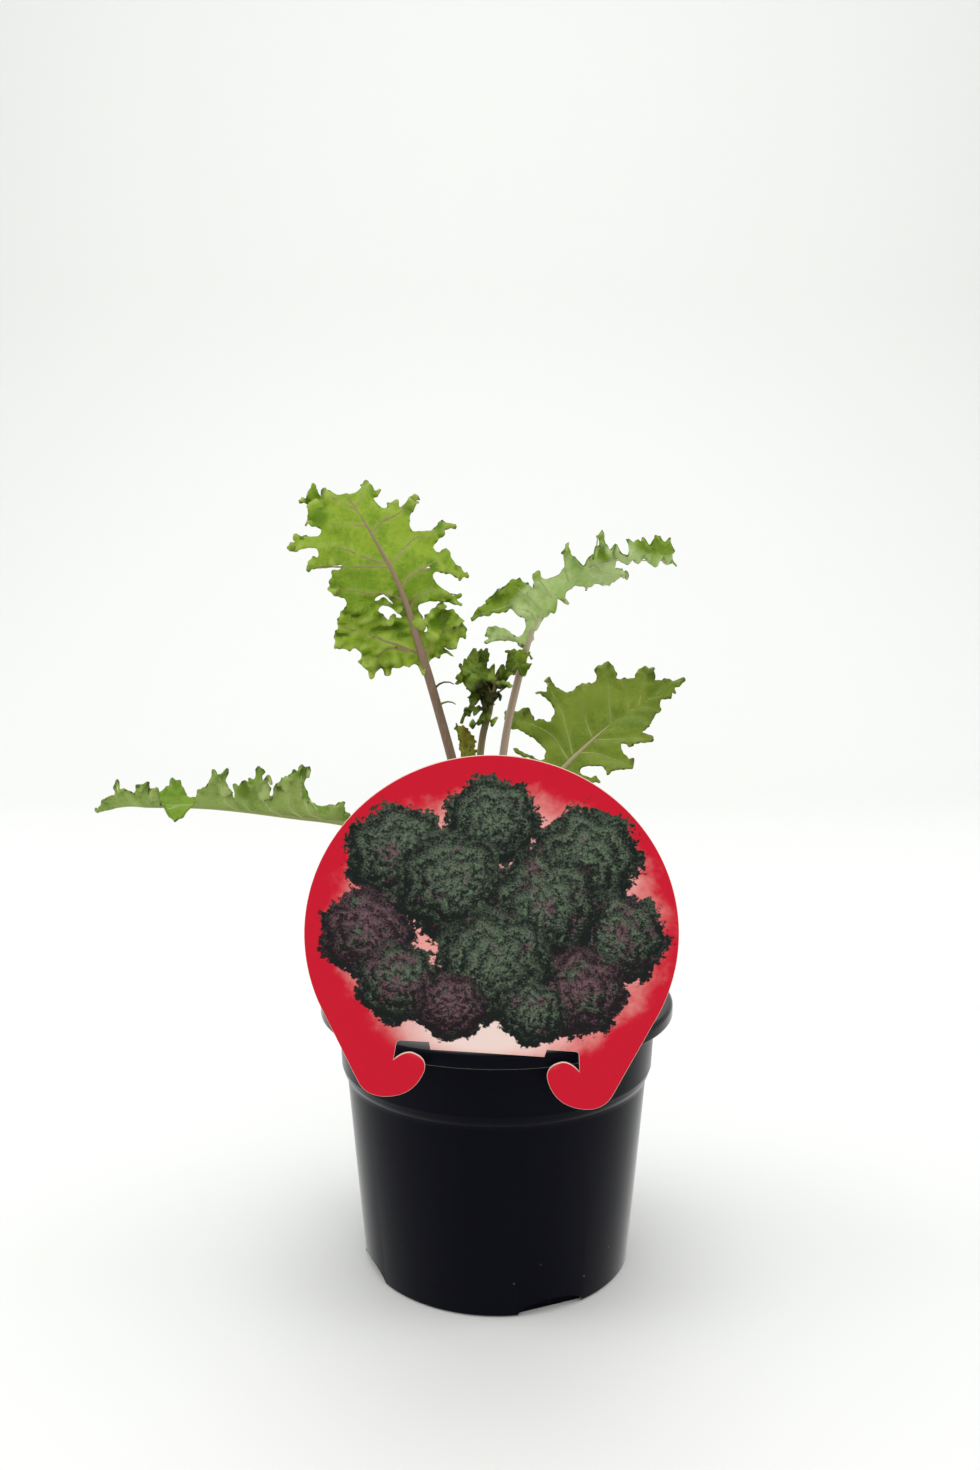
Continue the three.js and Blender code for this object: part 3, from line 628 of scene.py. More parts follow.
def bar_tree():
    """Round bars along paths, each as thick as its path says."""
    tree = Tree("round bars", Sides="Int")
    path = tree.node("GeometryNodeMeshToCurve", {"Mesh": tree.given["Geometry"]})
    thick = tree.node("GeometryNodeInputNamedAttribute", {"Name": "thick"}, data_type="FLOAT")
    ring = tree.node("GeometryNodeCurvePrimitiveCircle", {"Resolution": tree.given["Sides"], "Radius": 1.0})
    bar = tree.node("GeometryNodeCurveToMesh", {
        "Curve": path[0], "Profile Curve": ring[0], "Scale": thick[0], "Fill Caps": True})
    smooth = tree.node("GeometryNodeSetShadeSmooth", {"Geometry": bar[0], "Shade Smooth": True})
    return tree.close(smooth[0])


def crumb_tree():
    """Crumbs scattered over a surface, sunk half into it."""
    tree = Tree("crumbs", Density="Float", Smallest="Float", Largest="Float", Seed="Int")
    given = tree.given
    points = tree.node("GeometryNodeDistributePointsOnFaces", {
        "Mesh": given["Geometry"], "Density": given["Density"], "Seed": given["Seed"]})
    crumb = tree.node("GeometryNodeMeshIcoSphere", {"Subdivisions": 1, "Radius": 1.0})
    size = tree.node("FunctionNodeRandomValue", {
        2: given["Smallest"], 3: given["Largest"], "Seed": given["Seed"]})
    turn = tree.node("FunctionNodeRandomValue", {"Max": (6.28, 6.28, 6.28), "Seed": given["Seed"]},
                     data_type="FLOAT_VECTOR")
    place = tree.node("GeometryNodeInstanceOnPoints", {
        "Points": points[0], "Instance": crumb[0], "Rotation": turn[0], "Scale": size[1]})
    return tree.close(place[0])


def bars(name, paths, finish, sides, group):
    """Bars along paths; each path has its points, their radii and how far the finish changes along it."""
    mesh = bpy.data.meshes.new(name)
    points, edges, radii, shares = [], [], [], []
    for line, widths, share in paths:
        first = len(points)
        points += [tuple(MM * c for c in p) for p in line]
        edges += [(first + k, first + k + 1) for k in range(len(line) - 1)]
        radii += [MM * w for w in widths]
        shares += list(share)
    mesh.from_pydata(points, edges, [])
    for label, values in (("thick", radii), ("share", shares)):
        mesh.attributes.new(label, "FLOAT", "POINT").data.foreach_set("value", values)
    piece = bpy.data.objects.new(name, mesh)
    bpy.context.scene.collection.objects.link(piece)
    run_tree(piece, group, Sides=sides, Finish=finish)
    return face_outwards(piece)


# Leaf shape


def unit(vectors):
    """The vectors at length one."""
    return vectors / np.linalg.norm(vectors, axis=-1, keepdims=True)


class Rib:
    """A leaf's middle line: an even curve through its points, with the blade's directions along it."""

    SAMPLES = 400
    PIECES = 60
    NARROWING = 5.0

    def __init__(self, leaf):
        knots = [np.array(p, float) for p in leaf["rib"]]
        knots = [2 * knots[0] - knots[1]] + knots + [2 * knots[-1] - knots[-2]]
        fine = []
        for a, b, c, d in zip(knots, knots[1:], knots[2:], knots[3:]):
            for t in np.arange(self.PIECES) / self.PIECES:
                cubic = (-a + 3 * b - 3 * c + d) * t ** 3
                fine.append(0.5 * (2 * b + (c - a) * t + (2 * a - 5 * b + 4 * c - d) * t ** 2 + cubic))
        fine.append(knots[-2])
        fine = np.array(fine)
        run = np.concatenate([[0], np.linalg.norm(np.diff(fine, axis=0), axis=1).cumsum()])
        self.length = run[-1]
        even = np.linspace(0, self.length, self.SAMPLES + 1)
        self.points = np.stack([np.interp(even, run, fine[:, k]) for k in range(3)], 1)
        reach = self.SAMPLES // 100
        index = np.arange(self.SAMPLES + 1)
        ahead = self.points[np.minimum(index + reach, self.SAMPLES)]
        behind = self.points[np.maximum(index - reach, 0)]
        self.ahead = unit(ahead - behind)
        share = (index / self.SAMPLES)[:, None]
        first, last = [np.array(face, float) for face in leaf["face"]]
        face = first * (1 - share) + last * share
        self.face = unit(face - (face * self.ahead).sum(1, keepdims=True) * self.ahead)
        self.side = np.cross(self.ahead, self.face)
        self.lift = leaf["lift"]

    def at(self, along):
        """Point, direction, face and side at shares of the length; each has one row for each share."""
        spot = np.clip(along, 0, 1) * self.SAMPLES
        low = np.minimum(spot.astype(int), self.SAMPLES - 1)
        share = (spot - low)[..., None]
        tables = (self.points, self.ahead, self.face, self.side)
        return [table[low] * (1 - share) + table[low + 1] * share for table in tables]

    def lay(self, flat):
        """Places flat blade points (along, signed distance out) in space, with the upper face's direction."""
        run, out = flat[..., 0], flat[..., 1]
        along = np.clip(run / self.length, 0, 1)
        point, direction, face, across = self.at(along)
        plus, minus = [np.interp(along, *zip(*self.lift[key])) for key in ("plus", "minus")]
        far = np.abs(out)
        fold = np.radians(np.where(out > 0, plus, minus)) * (1 - np.exp(-far / self.NARROWING))
        sign = np.sign(out)
        place = point + (run - along * self.length)[..., None] * direction
        place = place + (out * np.cos(fold))[..., None] * across + (far * np.sin(fold))[..., None] * face
        normal = face * np.cos(fold)[..., None] - across * (sign * np.sin(fold))[..., None]
        return place, normal


def smoothed(outline):
    """Cuts each corner of a closed outline once."""
    ahead = np.roll(outline, -1, axis=0)
    return np.stack([outline * 0.82 + ahead * 0.18, outline * 0.18 + ahead * 0.82], 1).reshape(-1, 2)


def even_line(outline, step):
    """Points at even steps round a closed outline."""
    closed = np.vstack([outline, outline[:1]])
    run = np.concatenate([[0], np.linalg.norm(np.diff(closed, axis=0), axis=1).cumsum()])
    spots = np.linspace(0, run[-1], max(8, round(run[-1] / step)), endpoint=False)
    return np.stack([np.interp(spots, run, closed[:, k]) for k in (0, 1)], 1)


def bulge(line, reach):
    """How far each point of a closed line stands out from its neighbours' middle, positive outwards."""
    kernel = sum(np.roll(line, k, axis=0) for k in range(-reach, reach + 1)) / (2 * reach + 1)
    ahead = unit(np.roll(line, -2, axis=0) - np.roll(line, 2, axis=0) + 1e-9)
    outward = np.stack([ahead[:, 1], -ahead[:, 0]], 1)
    if signed_area(line) < 0:
        outward = -outward
    return ((line - kernel) * outward).sum(1), outward


def signed_area(line):
    """A closed line's area, positive when it runs anticlockwise."""
    ahead = np.roll(line, -1, axis=0)
    return 0.5 * (line[:, 0] * ahead[:, 1] - ahead[:, 0] * line[:, 1]).sum()


def winding(points, outlines):
    """How many times the outlines go round each point, by the angles they turn through."""
    total = np.zeros(len(points))
    for line in outlines:
        a = line[None] - points[:, None]
        b = np.roll(line, -1, axis=0)[None] - points[:, None]
        cross = a[..., 0] * b[..., 1] - a[..., 1] * b[..., 0]
        total += np.arctan2(cross, (a * b).sum(-1)).sum(1)
    return np.abs(total) / (2 * np.pi)


def toothed(line, depth, fine, rng):
    """Adds small pointed teeth to a closed line, larger where it stands out."""
    out, outward = bulge(line, 7)
    freedom = np.clip(0.45 + out * 0.8, 0.1, 1)
    gap = np.linalg.norm(np.roll(line, -1, axis=0) - line, axis=1)
    run = np.concatenate([[0], gap.cumsum()[:-1]])
    peaks = fine * rng.uniform(1.6, 2.9, int(gap.sum() / 1.6 / fine) + 2).cumsum()
    heights = rng.uniform(0.35, 1.0, len(peaks))
    near = np.abs(run[:, None] - peaks[None]).argmin(1)
    tooth = np.clip(1 - np.abs(run - peaks[near]) / fine, 0, 1) * heights[near]
    return line + outward * (depth * freedom * tooth)[:, None], freedom, tooth


def nearest(points, line):
    """Each point's distance to a line's points, and the nearest one's index."""
    best = np.full(len(points), np.inf)
    index = np.zeros(len(points), int)
    for first in range(0, len(points), 800):
        block = points[first:first + 800]
        d = np.linalg.norm(block[:, None] - line[None], axis=2)
        index[first:first + 800] = d.argmin(1)
        best[first:first + 800] = d.min(1)
    return best, index


def flat_blade(leaf, s, rng):
    """The blade drawn flat: points, triangles, each point's distance from the margin and its margin spot."""
    plus = np.array(leaf["plus"], float)
    minus = np.array(leaf["minus"], float) * (1, -1)
    outline = smoothed(np.vstack([plus, minus[::-1]]))
    step = s.step / MM * leaf["fine"]
    margin, freedom, tooth = toothed(even_line(outline, step), s.tooth / MM, leaf["fine"], rng)
    holes = [even_line(smoothed(np.array(hole, float)), step) for hole in leaf["holes"]]
    holes = [hole if signed_area(hole) * signed_area(margin) < 0 else hole[::-1] for hole in holes]
    edges = np.vstack([margin, *holes])
    pitch = s.grain / MM * leaf["fine"]
    low, high = margin.min(0), margin.max(0)
    across = np.arange(low[1], high[1], pitch * 0.87)
    rows = []
    for i, out in enumerate(across):
        run = np.arange(low[0] + pitch / 2 * (i % 2), high[0], pitch)
        rows.append(np.stack([run, np.full(len(run), out)], 1))
    inner = np.vstack(rows)
    inner = inner[winding(inner, [margin, *holes]) > 0.5]
    distance, _ = nearest(inner, edges)
    inner = inner[distance > pitch * 0.5]
    points = np.vstack([edges, inner])
    rim = []
    first = 0
    for line in (margin, *holes):
        count = len(line)
        rim += [(first + k, first + (k + 1) % count) for k in range(count)]
        first += count
    made, _, triangles, *_ = delaunay_2d_cdt([Vector(p) for p in points], rim, [], 0, 1e-5, False)
    made = np.array([tuple(p) for p in made])
    triangles = np.array(triangles)
    triangles = triangles[winding(made[triangles].mean(1), [margin, *holes]) > 0.5]
    used = np.unique(triangles)
    renamed = np.full(len(made), -1)
    renamed[used] = np.arange(len(used))
    made, triangles = made[used], renamed[triangles]
    distance, spot = nearest(made, edges)
    freedom = np.concatenate([freedom, *[np.full(len(hole), 0.1) for hole in holes]])[spot]
    tooth = np.concatenate([tooth, *[np.zeros(len(hole)) for hole in holes]])[spot]
    return made, triangles, distance, spot * step, freedom, tooth


def folds(leaf, flat, distance, spot, freedom, s, rng):
    """How far each point of the blade stands off its plain surface, and a measure of its steep frills and
    creases that sets painted shade and painted light on the leaf's colour.
    """
    boost = spots_near(flat, leaf["frilly"])
    near = np.exp(-(distance / (s.frill_depth / MM * (1 + 0.5 * boost))) ** 1.2)
    waves = np.zeros(len(flat))
    for length, share in ((7.3, 0.7), (4.4, 0.8), (2.7, 0.4)):
        length *= leaf["fine"]
        waves += share * np.sin(2 * np.pi * spot / length + rng.uniform(0, 6.3) + 1.7 * np.sin(spot / 9.1))
    frill = leaf["curl"] * np.maximum(freedom, np.clip(boost, 0, 0.8)) * near * waves * (1 + 0.35 * boost)
    from_rib = np.clip(np.abs(flat[:, 1]) / 4, 0, 1)
    seed = rng.uniform(0, 50)
    broad = np.array([noise.noise(Vector((x * 0.11, y * 0.13, seed))) for x, y in flat])
    close = np.array([noise.noise(Vector((x * 0.3, y * 0.3, seed + 9))) for x, y in flat])
    crease = 0.45 / leaf["fine"]
    crumple = boost * np.array([noise.noise(Vector((x * crease, y * 0.16, seed + 4))) for x, y in flat])
    veins = np.vstack([np.array(line) * (1, sign) for key, sign in (("plus", 1), ("minus", -1))
                       for line in (even_vein(v) for v in leaf["veins"][key])])
    from_vein, _ = nearest(flat, veins)
    puff = np.clip(np.minimum(from_vein, np.abs(flat[:, 1])) / 2.5, 0, 1) * (s.puff / MM)
    stand = frill + from_rib * ((1.3 * broad + 0.5 * close) * leaf["curl"] + 1.1 * crumple) + puff
    # The second value marks the steep frills and crumpled creases; the leaf finish paints shade on them, and
    # painted light where they turn the other way.
    return stand, near * waves * freedom * (1 + 0.4 * boost) + 1.2 * crumple, from_vein


def spots_near(flat, spots):
    """How strongly round spots (along, out, radius, strength) act at each flat point."""
    total = np.zeros(len(flat))
    for run, out, radius, strength in spots:
        total += strength * np.exp(-((flat[:, 0] - run) ** 2 + (flat[:, 1] - out) ** 2) / radius ** 2)
    return total


def even_vein(points):
    """A vein's points at small even steps."""
    points = np.array(points, float)
    run = np.concatenate([[0], np.linalg.norm(np.diff(points, axis=0), axis=1).cumsum()])
    spots = np.linspace(0, run[-1], max(4, round(run[-1] / 0.8)))
    line = np.stack([np.interp(spots, run, points[:, k]) for k in (0, 1)], 1)
    for _ in range(6):
        line[1:-1] = (line[:-2] + 2 * line[1:-1] + line[2:]) / 4
    return line


def blade_piece(name, leaf, s, materials, seed):
    """The whole blade of one leaf: one sheet given a thickness, its upper face first."""
    rng = np.random.default_rng(seed)
    rib = Rib(leaf)
    flat, triangles, distance, spot, freedom, tooth = flat_blade(leaf, s, rng)
    stand, steep, from_vein = folds(leaf, flat, distance, spot, freedom, s, rng)
    place, normal = rib.lay(flat)
    place = place + normal * stand[:, None]
    a, b, c = (place[triangles[:, k]] for k in range(3))
    facing = np.cross(b - a, c - a)
    turned_over = (facing * normal[triangles[:, 0]]).sum() < 0
    faces = [tuple(t[::-1] if turned_over else t) for t in triangles.tolist()]
    piece = new_piece(name + "_blade", place.tolist(), faces, materials)
    mesh = piece.data
    sheet = mesh.uv_layers.new(name="flat")
    where = np.array([loop.vertex_index for loop in mesh.loops])
    sheet.data.foreach_set("uv", (flat[where] / 10).ravel())
    # The "steep" attribute carries the frills for painted shade and painted light, and "dark" the spots of
    # deep colour with painted shade, into the leaf finish.
    dark = spots_near(flat, leaf["dark"])
    drawn = {"margin": distance, "steep": steep, "vein": from_vein, "tooth": tooth, "dark": dark}
    for label, values in drawn.items():
        mesh.attributes.new(label, "FLOAT", "POINT").data.foreach_set("value", values)
    thick = piece.modifiers.new("thickness", "SOLIDIFY")
    thick.thickness = s.thickness
    thick.offset = 0
    thick.material_offset = 1
    thick.use_rim = True
    return bake_modifiers(piece), rib, flat, stand


def bar_paths(name, leaf, rib, flat, stand, s):
    """Paths for a leaf's stalk with its middle rib, for its side veins and for its wisps."""
    stalk = leaf["stalk"]
    start = leaf["blade_start"]
    run = np.linspace(0, leaf["rib_end"], 110)
    line = rib.at(run / rib.length)[0]
    narrow = np.clip((rib.length - run) / (rib.length - start), 0, 1)
    widths = np.where(run < start, stalk * (1.16 - 0.16 * run / start), stalk * narrow ** leaf["taper"])
    share = np.clip((run - start + 6) / 18, 0, 1)
    stalks = [(line, np.maximum(widths, 0.16), share)]
    veins = []
    for key, sign in (("plus", 1), ("minus", -1)):
        for vein in leaf["veins"][key]:
            path = even_vein(vein) * (1, sign)
            place, normal = rib.lay(path)
            _, near = nearest(path, flat)
            place = place + normal * (stand[near] * np.clip(np.abs(path[:, 1]) / 2, 0, 1))[:, None]
            t = np.linspace(0, 1, len(path))
            room = narrow[np.abs(run - path[0, 0]).argmin()]
            veins.append((place, (s.vein / MM) * (0.6 + 0.4 * room) * (1 - 0.6 * t), t))
    wisps = [(wisp, np.linspace(0.36, 0.14, len(wisp)), np.ones(len(wisp))) for wisp in WISPS.get(name, ())]
    return stalks, veins, wisps


# Finishes


def leaf_finish(name, base, deep, light, tip, spot, rough=0.5):
    """A leaf face: mottled green, deeper between its fine veins, with painted shade in its frills and
    creases, painted light on folds turned the other way, deep colour with painted shade in its dark spots,
    and dark tooth tips.
    """
    shade = Shade(name, Specular_IOR_Level=0.2, IOR=1.4)
    at = shade.place()
    margin = shade.attribute("margin")
    steep = shade.attribute("steep")
    tooth = shade.attribute("tooth")
    near = shade.attribute("vein")
    broad = shade.noise(at, 75, 3, 0.55)
    fine = shade.noise(at, 800, 2, 0.6)
    mottle = shade.steps(broad * 0.7 + fine * 0.3, 0.36, 0.6)
    colour = shade.mix(mottle, deep, base)
    # Painted shade: steep frills and creases go towards a darker deep green.
    frill = shade.steps(steep, 0.15, 0.9)
    colour = shade.mix(frill * 0.75, colour, tuple(0.55 * c for c in deep))
    # Painted light: folds turned the other way go towards the light green.
    colour = shade.mix(shade.steps(steep * -1, 0.1, 1.0) * 0.5, colour, light)
    net = shade.cells(at, 620, "DISTANCE_TO_EDGE")
    lines = 1 - shade.steps(net, 0.02, 0.12)
    colour = shade.mix(lines * 0.12, colour, light)
    beside = 1 - shade.steps(near, 0.3, 1.6)
    colour = shade.mix(beside * 0.2, colour, light)
    # The dark spots: deep colour with painted shade where the lobes curl.
    gloom = shade.steps(shade.attribute("dark") + (fine - 0.5) * 0.5, 0.25, 0.8)
    colour = shade.mix(gloom * 0.9, colour, spot)
    tips = shade.steps(tooth, 0.35, 0.8) * (1 - shade.steps(margin, 0.15, 0.6))
    colour = shade.mix(tips * 0.85, colour, tip)
    height = shade.steps(net, 0.0, 0.3) * 0.4 + fine * 0.5
    bump = shade.bump(height, 0.15, 0.4)
    roughness = rough + (broad - 0.5) * 0.25
    return shade.finish(Base_Color=colour, Roughness=roughness, Normal=bump)


def vein_finish(name, dark, pale):
    """A side vein: between the leaf's green and the stalk's mauve."""
    shade = Shade(name, Specular_IOR_Level=0.35)
    patches = shade.noise(shade.place(), 160, 2)
    colour = shade.mix(shade.steps(patches, 0.4, 0.6), dark, pale)
    return shade.finish(Base_Color=colour, Roughness=0.5)


def stalk_finish(name, lower, upper, low_mm, high_mm, inner=None):
    """A stalk: long fine streaks, with a colour that changes with height and again inside the blade."""
    shade = Shade(name, Specular_IOR_Level=0.25)
    at = shade.place()
    height = shade.parts(at)[2]
    streaks = shade.node("ShaderNodeMapping", None, {"Vector": at, "Scale": (1, 1, 0.08)})
    grain = shade.noise(streaks, 1500, 3, 0.6)
    patches = shade.noise(at, 120, 2)
    share = shade.steps(height + (patches - 0.5) * 0.02, low_mm * MM, high_mm * MM)
    colour = shade.mix(share, lower, upper)
    colour = shade.mix(shade.steps(grain, 0.45, 0.7) * 0.25, colour, (0.33, 0.27, 0.17))
    if inner:
        colour = shade.mix(shade.attribute("share"), colour, inner)
    bump = shade.bump(grain, 0.08, 0.5)
    return shade.finish(Base_Color=colour, Roughness=0.42 + grain * 0.15, Normal=bump)


def pot_finish():
    """Black moulded plastic: soft gloss, a faint flow pattern and a few specks of compost dust low down."""
    shade = Shade("black pot plastic", Specular_IOR_Level=0.04, Sheen_Weight=0.8, Sheen_Roughness=0.27)
    at = shade.place()
    height = shade.parts(at)[2]
    flow = shade.node("ShaderNodeMapping", None, {"Vector": at, "Scale": (1, 1, 0.25)})
    swirl = shade.noise(flow, 55, 4, 0.6, 0.6)
    peel = shade.noise(at, 700, 2, 0.5)
    dust = shade.cells(at, 260)
    low = 1 - shade.steps(height, 0.002, 0.03)
    specks = (1 - shade.steps(dust, 0.05, 0.09)) * low * shade.steps(shade.noise(at, 40), 0.5, 0.6)
    colour = shade.mix(swirl, (0.0006, 0.0008, 0.0034), (0.002, 0.0022, 0.006))
    colour = shade.mix(specks * 0.5, colour, (0.25, 0.24, 0.22))
    bump = shade.bump(peel + swirl * 0.5, 0.03, 0.35)
    roughness = 0.31 + swirl * 0.12 + specks * 0.4
    return shade.finish(Base_Color=colour, Roughness=roughness, Normal=bump)


def soil_finish(name, dark, pale):
    """Moist peat: dark clods with paler grit and a few fibres."""
    shade = Shade(name, Specular_IOR_Level=0.25)
    at = shade.place()
    clods = shade.noise(at, 160, 5, 0.65)
    grit = shade.noise(at, 1300, 3, 0.6)
    fibre = shade.steps(shade.noise(at, 480, 2, 0.7, 1.5), 0.62, 0.7)
    colour = shade.mix(shade.steps(clods * 0.6 + grit * 0.4, 0.38, 0.62), dark, pale)
    colour = shade.mix(fibre * 0.4, colour, (0.16, 0.10, 0.055))
    bump = shade.bump(clods + grit * 0.5, 0.6, 0.9)
    return shade.finish(Base_Color=colour, Roughness=0.82 + grit * 0.15, Normal=bump)


# Pieces


class PotSettings(bpy.types.PropertyGroup):
    sides: bpy.props.IntProperty(name="Sides", description="Faces round the pot", default=192, min=24)
    wall: bpy.props.FloatProperty(name="Wall", description="Wall thickness", default=1.2 * MM, unit="LENGTH")
    arches: bpy.props.IntProperty(name="Arches", description="Drain arches round the foot", default=4)


class SoilSettings(bpy.types.PropertyGroup):
    crumbs: bpy.props.IntProperty(name="Crumbs", description="Crumbs on the soil", default=2600)
    smallest: bpy.props.FloatProperty(
        name="Smallest", description="Smallest crumb's radius", default=0.25 * MM, unit="LENGTH")
    largest: bpy.props.FloatProperty(
        name="Largest", description="Largest crumb's radius", default=1.1 * MM, unit="LENGTH")
    seed: bpy.props.IntProperty(name="Seed", description="Which scatter of crumbs", default=11)


class LeafSettings(bpy.types.PropertyGroup):
    thickness: bpy.props.FloatProperty(
        name="Thickness", description="Blade thickness", default=0.45 * MM, unit="LENGTH")
    step: bpy.props.FloatProperty(
        name="Margin step", description="Distance between points on the margin",
        default=0.42 * MM, unit="LENGTH")
    grain: bpy.props.FloatProperty(
        name="Grain", description="Distance between points inside the blade", default=0.8 * MM, unit="LENGTH")
    tooth: bpy.props.FloatProperty(
        name="Tooth", description="Length of the small teeth", default=0.95 * MM, unit="LENGTH")
    frill_depth: bpy.props.FloatProperty(
        name="Frill depth", description="How far in from the margin the frills reach", default=3.4 * MM,
        unit="LENGTH")
    puff: bpy.props.FloatProperty(
        name="Puff", description="Swell of the blade between its veins", default=0.6 * MM, unit="LENGTH")
    vein: bpy.props.FloatProperty(
        name="Vein", description="A side vein's radius at its root", default=0.48 * MM, unit="LENGTH")
    seed: bpy.props.IntProperty(name="Seed", description="Which draw of teeth and frills", default=5)


class CardSettings(bpy.types.PropertyGroup):
    thickness: bpy.props.FloatProperty(
        name="Thickness", description="Card thickness", default=0.6 * MM, unit="LENGTH")
    red: bpy.props.FloatVectorProperty(
        name="Red", description="The card's ground colour", subtype="COLOR", default=(0.54, 0.004, 0.022))
    edge: bpy.props.FloatVectorProperty(
        name="Edge", description="The bare cut edge", subtype="COLOR", default=(0.62, 0.36, 0.30))


class StageSettings(bpy.types.PropertyGroup):
    floor: bpy.props.FloatVectorProperty(
        name="Floor", description="The floor's colour", subtype="COLOR", default=(0.70, 0.71, 0.70))
    reach: bpy.props.FloatProperty(
        name="Reach", description="Half the floor's width", default=3.0, unit="LENGTH")


def pot_profile(wall):
    """The pot's outline, from the middle of its underside round the lip to the middle of its floor."""
    lip_foot = POT_HEIGHT - LIP_DEPTH
    step_foot = BAND_FOOT - STEP_HEIGHT

    def arc(middle, radius, first, last, steps):
        turns = [math.radians(first + (last - first) * k / steps) for k in range(steps + 1)]
        return [(middle[0] + radius * math.cos(t), middle[1] + radius * math.sin(t)) for t in turns]

    outside = [(0, 0), (38.4, 0)]
    outside += arc((39.0, 1.0), 1.0, -90, -5, 5)
    outside += [(44.7, step_foot - 2.0), (44.85, step_foot - 0.6), (45.2, step_foot)]
    outside += [(45.75, step_foot + 0.8), (46.0, BAND_FOOT - 0.9), (46.2, BAND_FOOT - 0.35)]
    outside += [(46.4, BAND_FOOT + 0.1), (46.43, BAND_FOOT + 0.5), (47.1, lip_foot - 3)]
    outside += [(47.3, lip_foot - 1.2), (47.7, lip_foot - 0.35), (48.6, lip_foot - 0.1)]
    outside += arc((LIP_RADIUS - 0.6, lip_foot + 0.5), 0.6, -90, 0, 4)
    outside += arc((LIP_RADIUS - LIP_ROUND, POT_HEIGHT - LIP_ROUND), LIP_ROUND, 0, 90, 8)
    inside = arc((BAND_RADIUS - wall + 0.8, POT_HEIGHT - 0.8), 0.8, 90, 180, 4)
    inside += [(46.4 - wall, BAND_FOOT + 0.5), (45.0 - wall, step_foot), (40.0 - wall, 3.0)]
    inside += arc((38.4 - wall, 3.0), 1.4, 0, -90, 4)
    inside += [(0, FLOOR)]
    return outside + inside


class KALE_OT_pot(bpy.types.Operator):
    """Make the nursery pot with its lip, band and drain arches"""

    bl_idname = "kale.pot"
    bl_label = "Pot"

    def execute(self, context):
        s = context.scene.kale_pot
        points, faces = turned(pot_profile(s.wall / MM), s.sides)
        pot = new_piece("pot_moulding", points, faces, [pot_finish()])
        cutters = []
        for i in range(s.arches):
            turn = (i + 0.25) * 2 * math.pi / s.arches
            cutters.append(self.arch(turn))
            cutters.append(self.drain(turn))
        for cutter in cutters:
            cut = pot.modifiers.new("cut", "BOOLEAN")
            cut.operation = "DIFFERENCE"
            cut.solver = "EXACT"
            cut.object = cutter
        bake_modifiers(pot)
        for cutter in cutters:
            bpy.data.objects.remove(cutter)
        pot.data.set_sharp_from_angle(angle=math.radians(35))
        settle(pot, "pot")
        return {"FINISHED"}

    def arch(self, turn):
        """A cutter for one arched notch: a low half round, long across the wall."""
        steps = 12
        turns = [math.pi * k / steps for k in range(steps + 1)]
        section = [(ARCH_HALF * math.cos(t), ARCH_RISE * math.sin(t)) for t in turns]
        section += [(-ARCH_HALF, -2), (ARCH_HALF, -2)]
        return self.prism(section, 37.0, 46.0, turn)

    def drain(self, turn):
        """A cutter for one round drain hole in the floor."""
        steps = 24
        turns = [2 * math.pi * k / steps for k in range(steps)]
        ring = [(DRAIN_RADIUS * math.cos(t), DRAIN_RADIUS * math.sin(t)) for t in turns]
        points = [(DRAIN_RING + x, y, z) for z in (-1, 3) for x, y in ring]
        faces = [tuple(reversed(range(steps))), tuple(range(steps, 2 * steps))]
        faces += [(k, (k + 1) % steps, steps + (k + 1) % steps, steps + k) for k in range(steps)]
        return self.turned_cutter(points, faces, turn)

    def prism(self, section, near, far, turn):
        """A cutter of one section, from one distance off the axis to another."""
        count = len(section)
        points = [(x, y, z) for x in (near, far) for y, z in section]
        faces = [tuple(reversed(range(count))), tuple(range(count, 2 * count))]
        faces += [(k, (k + 1) % count, count + (k + 1) % count, count + k) for k in range(count)]
        return self.turned_cutter(points, faces, turn)

    def turned_cutter(self, points, faces, turn):
        """A cutter mesh turned round the pot's axis."""
        cosine = math.cos(turn)
        sine = math.sin(turn)
        placed = [(x * cosine - y * sine, x * sine + y * cosine, z) for x, y, z in points]
        return new_piece("cutter", placed, faces, [], smooth=False)


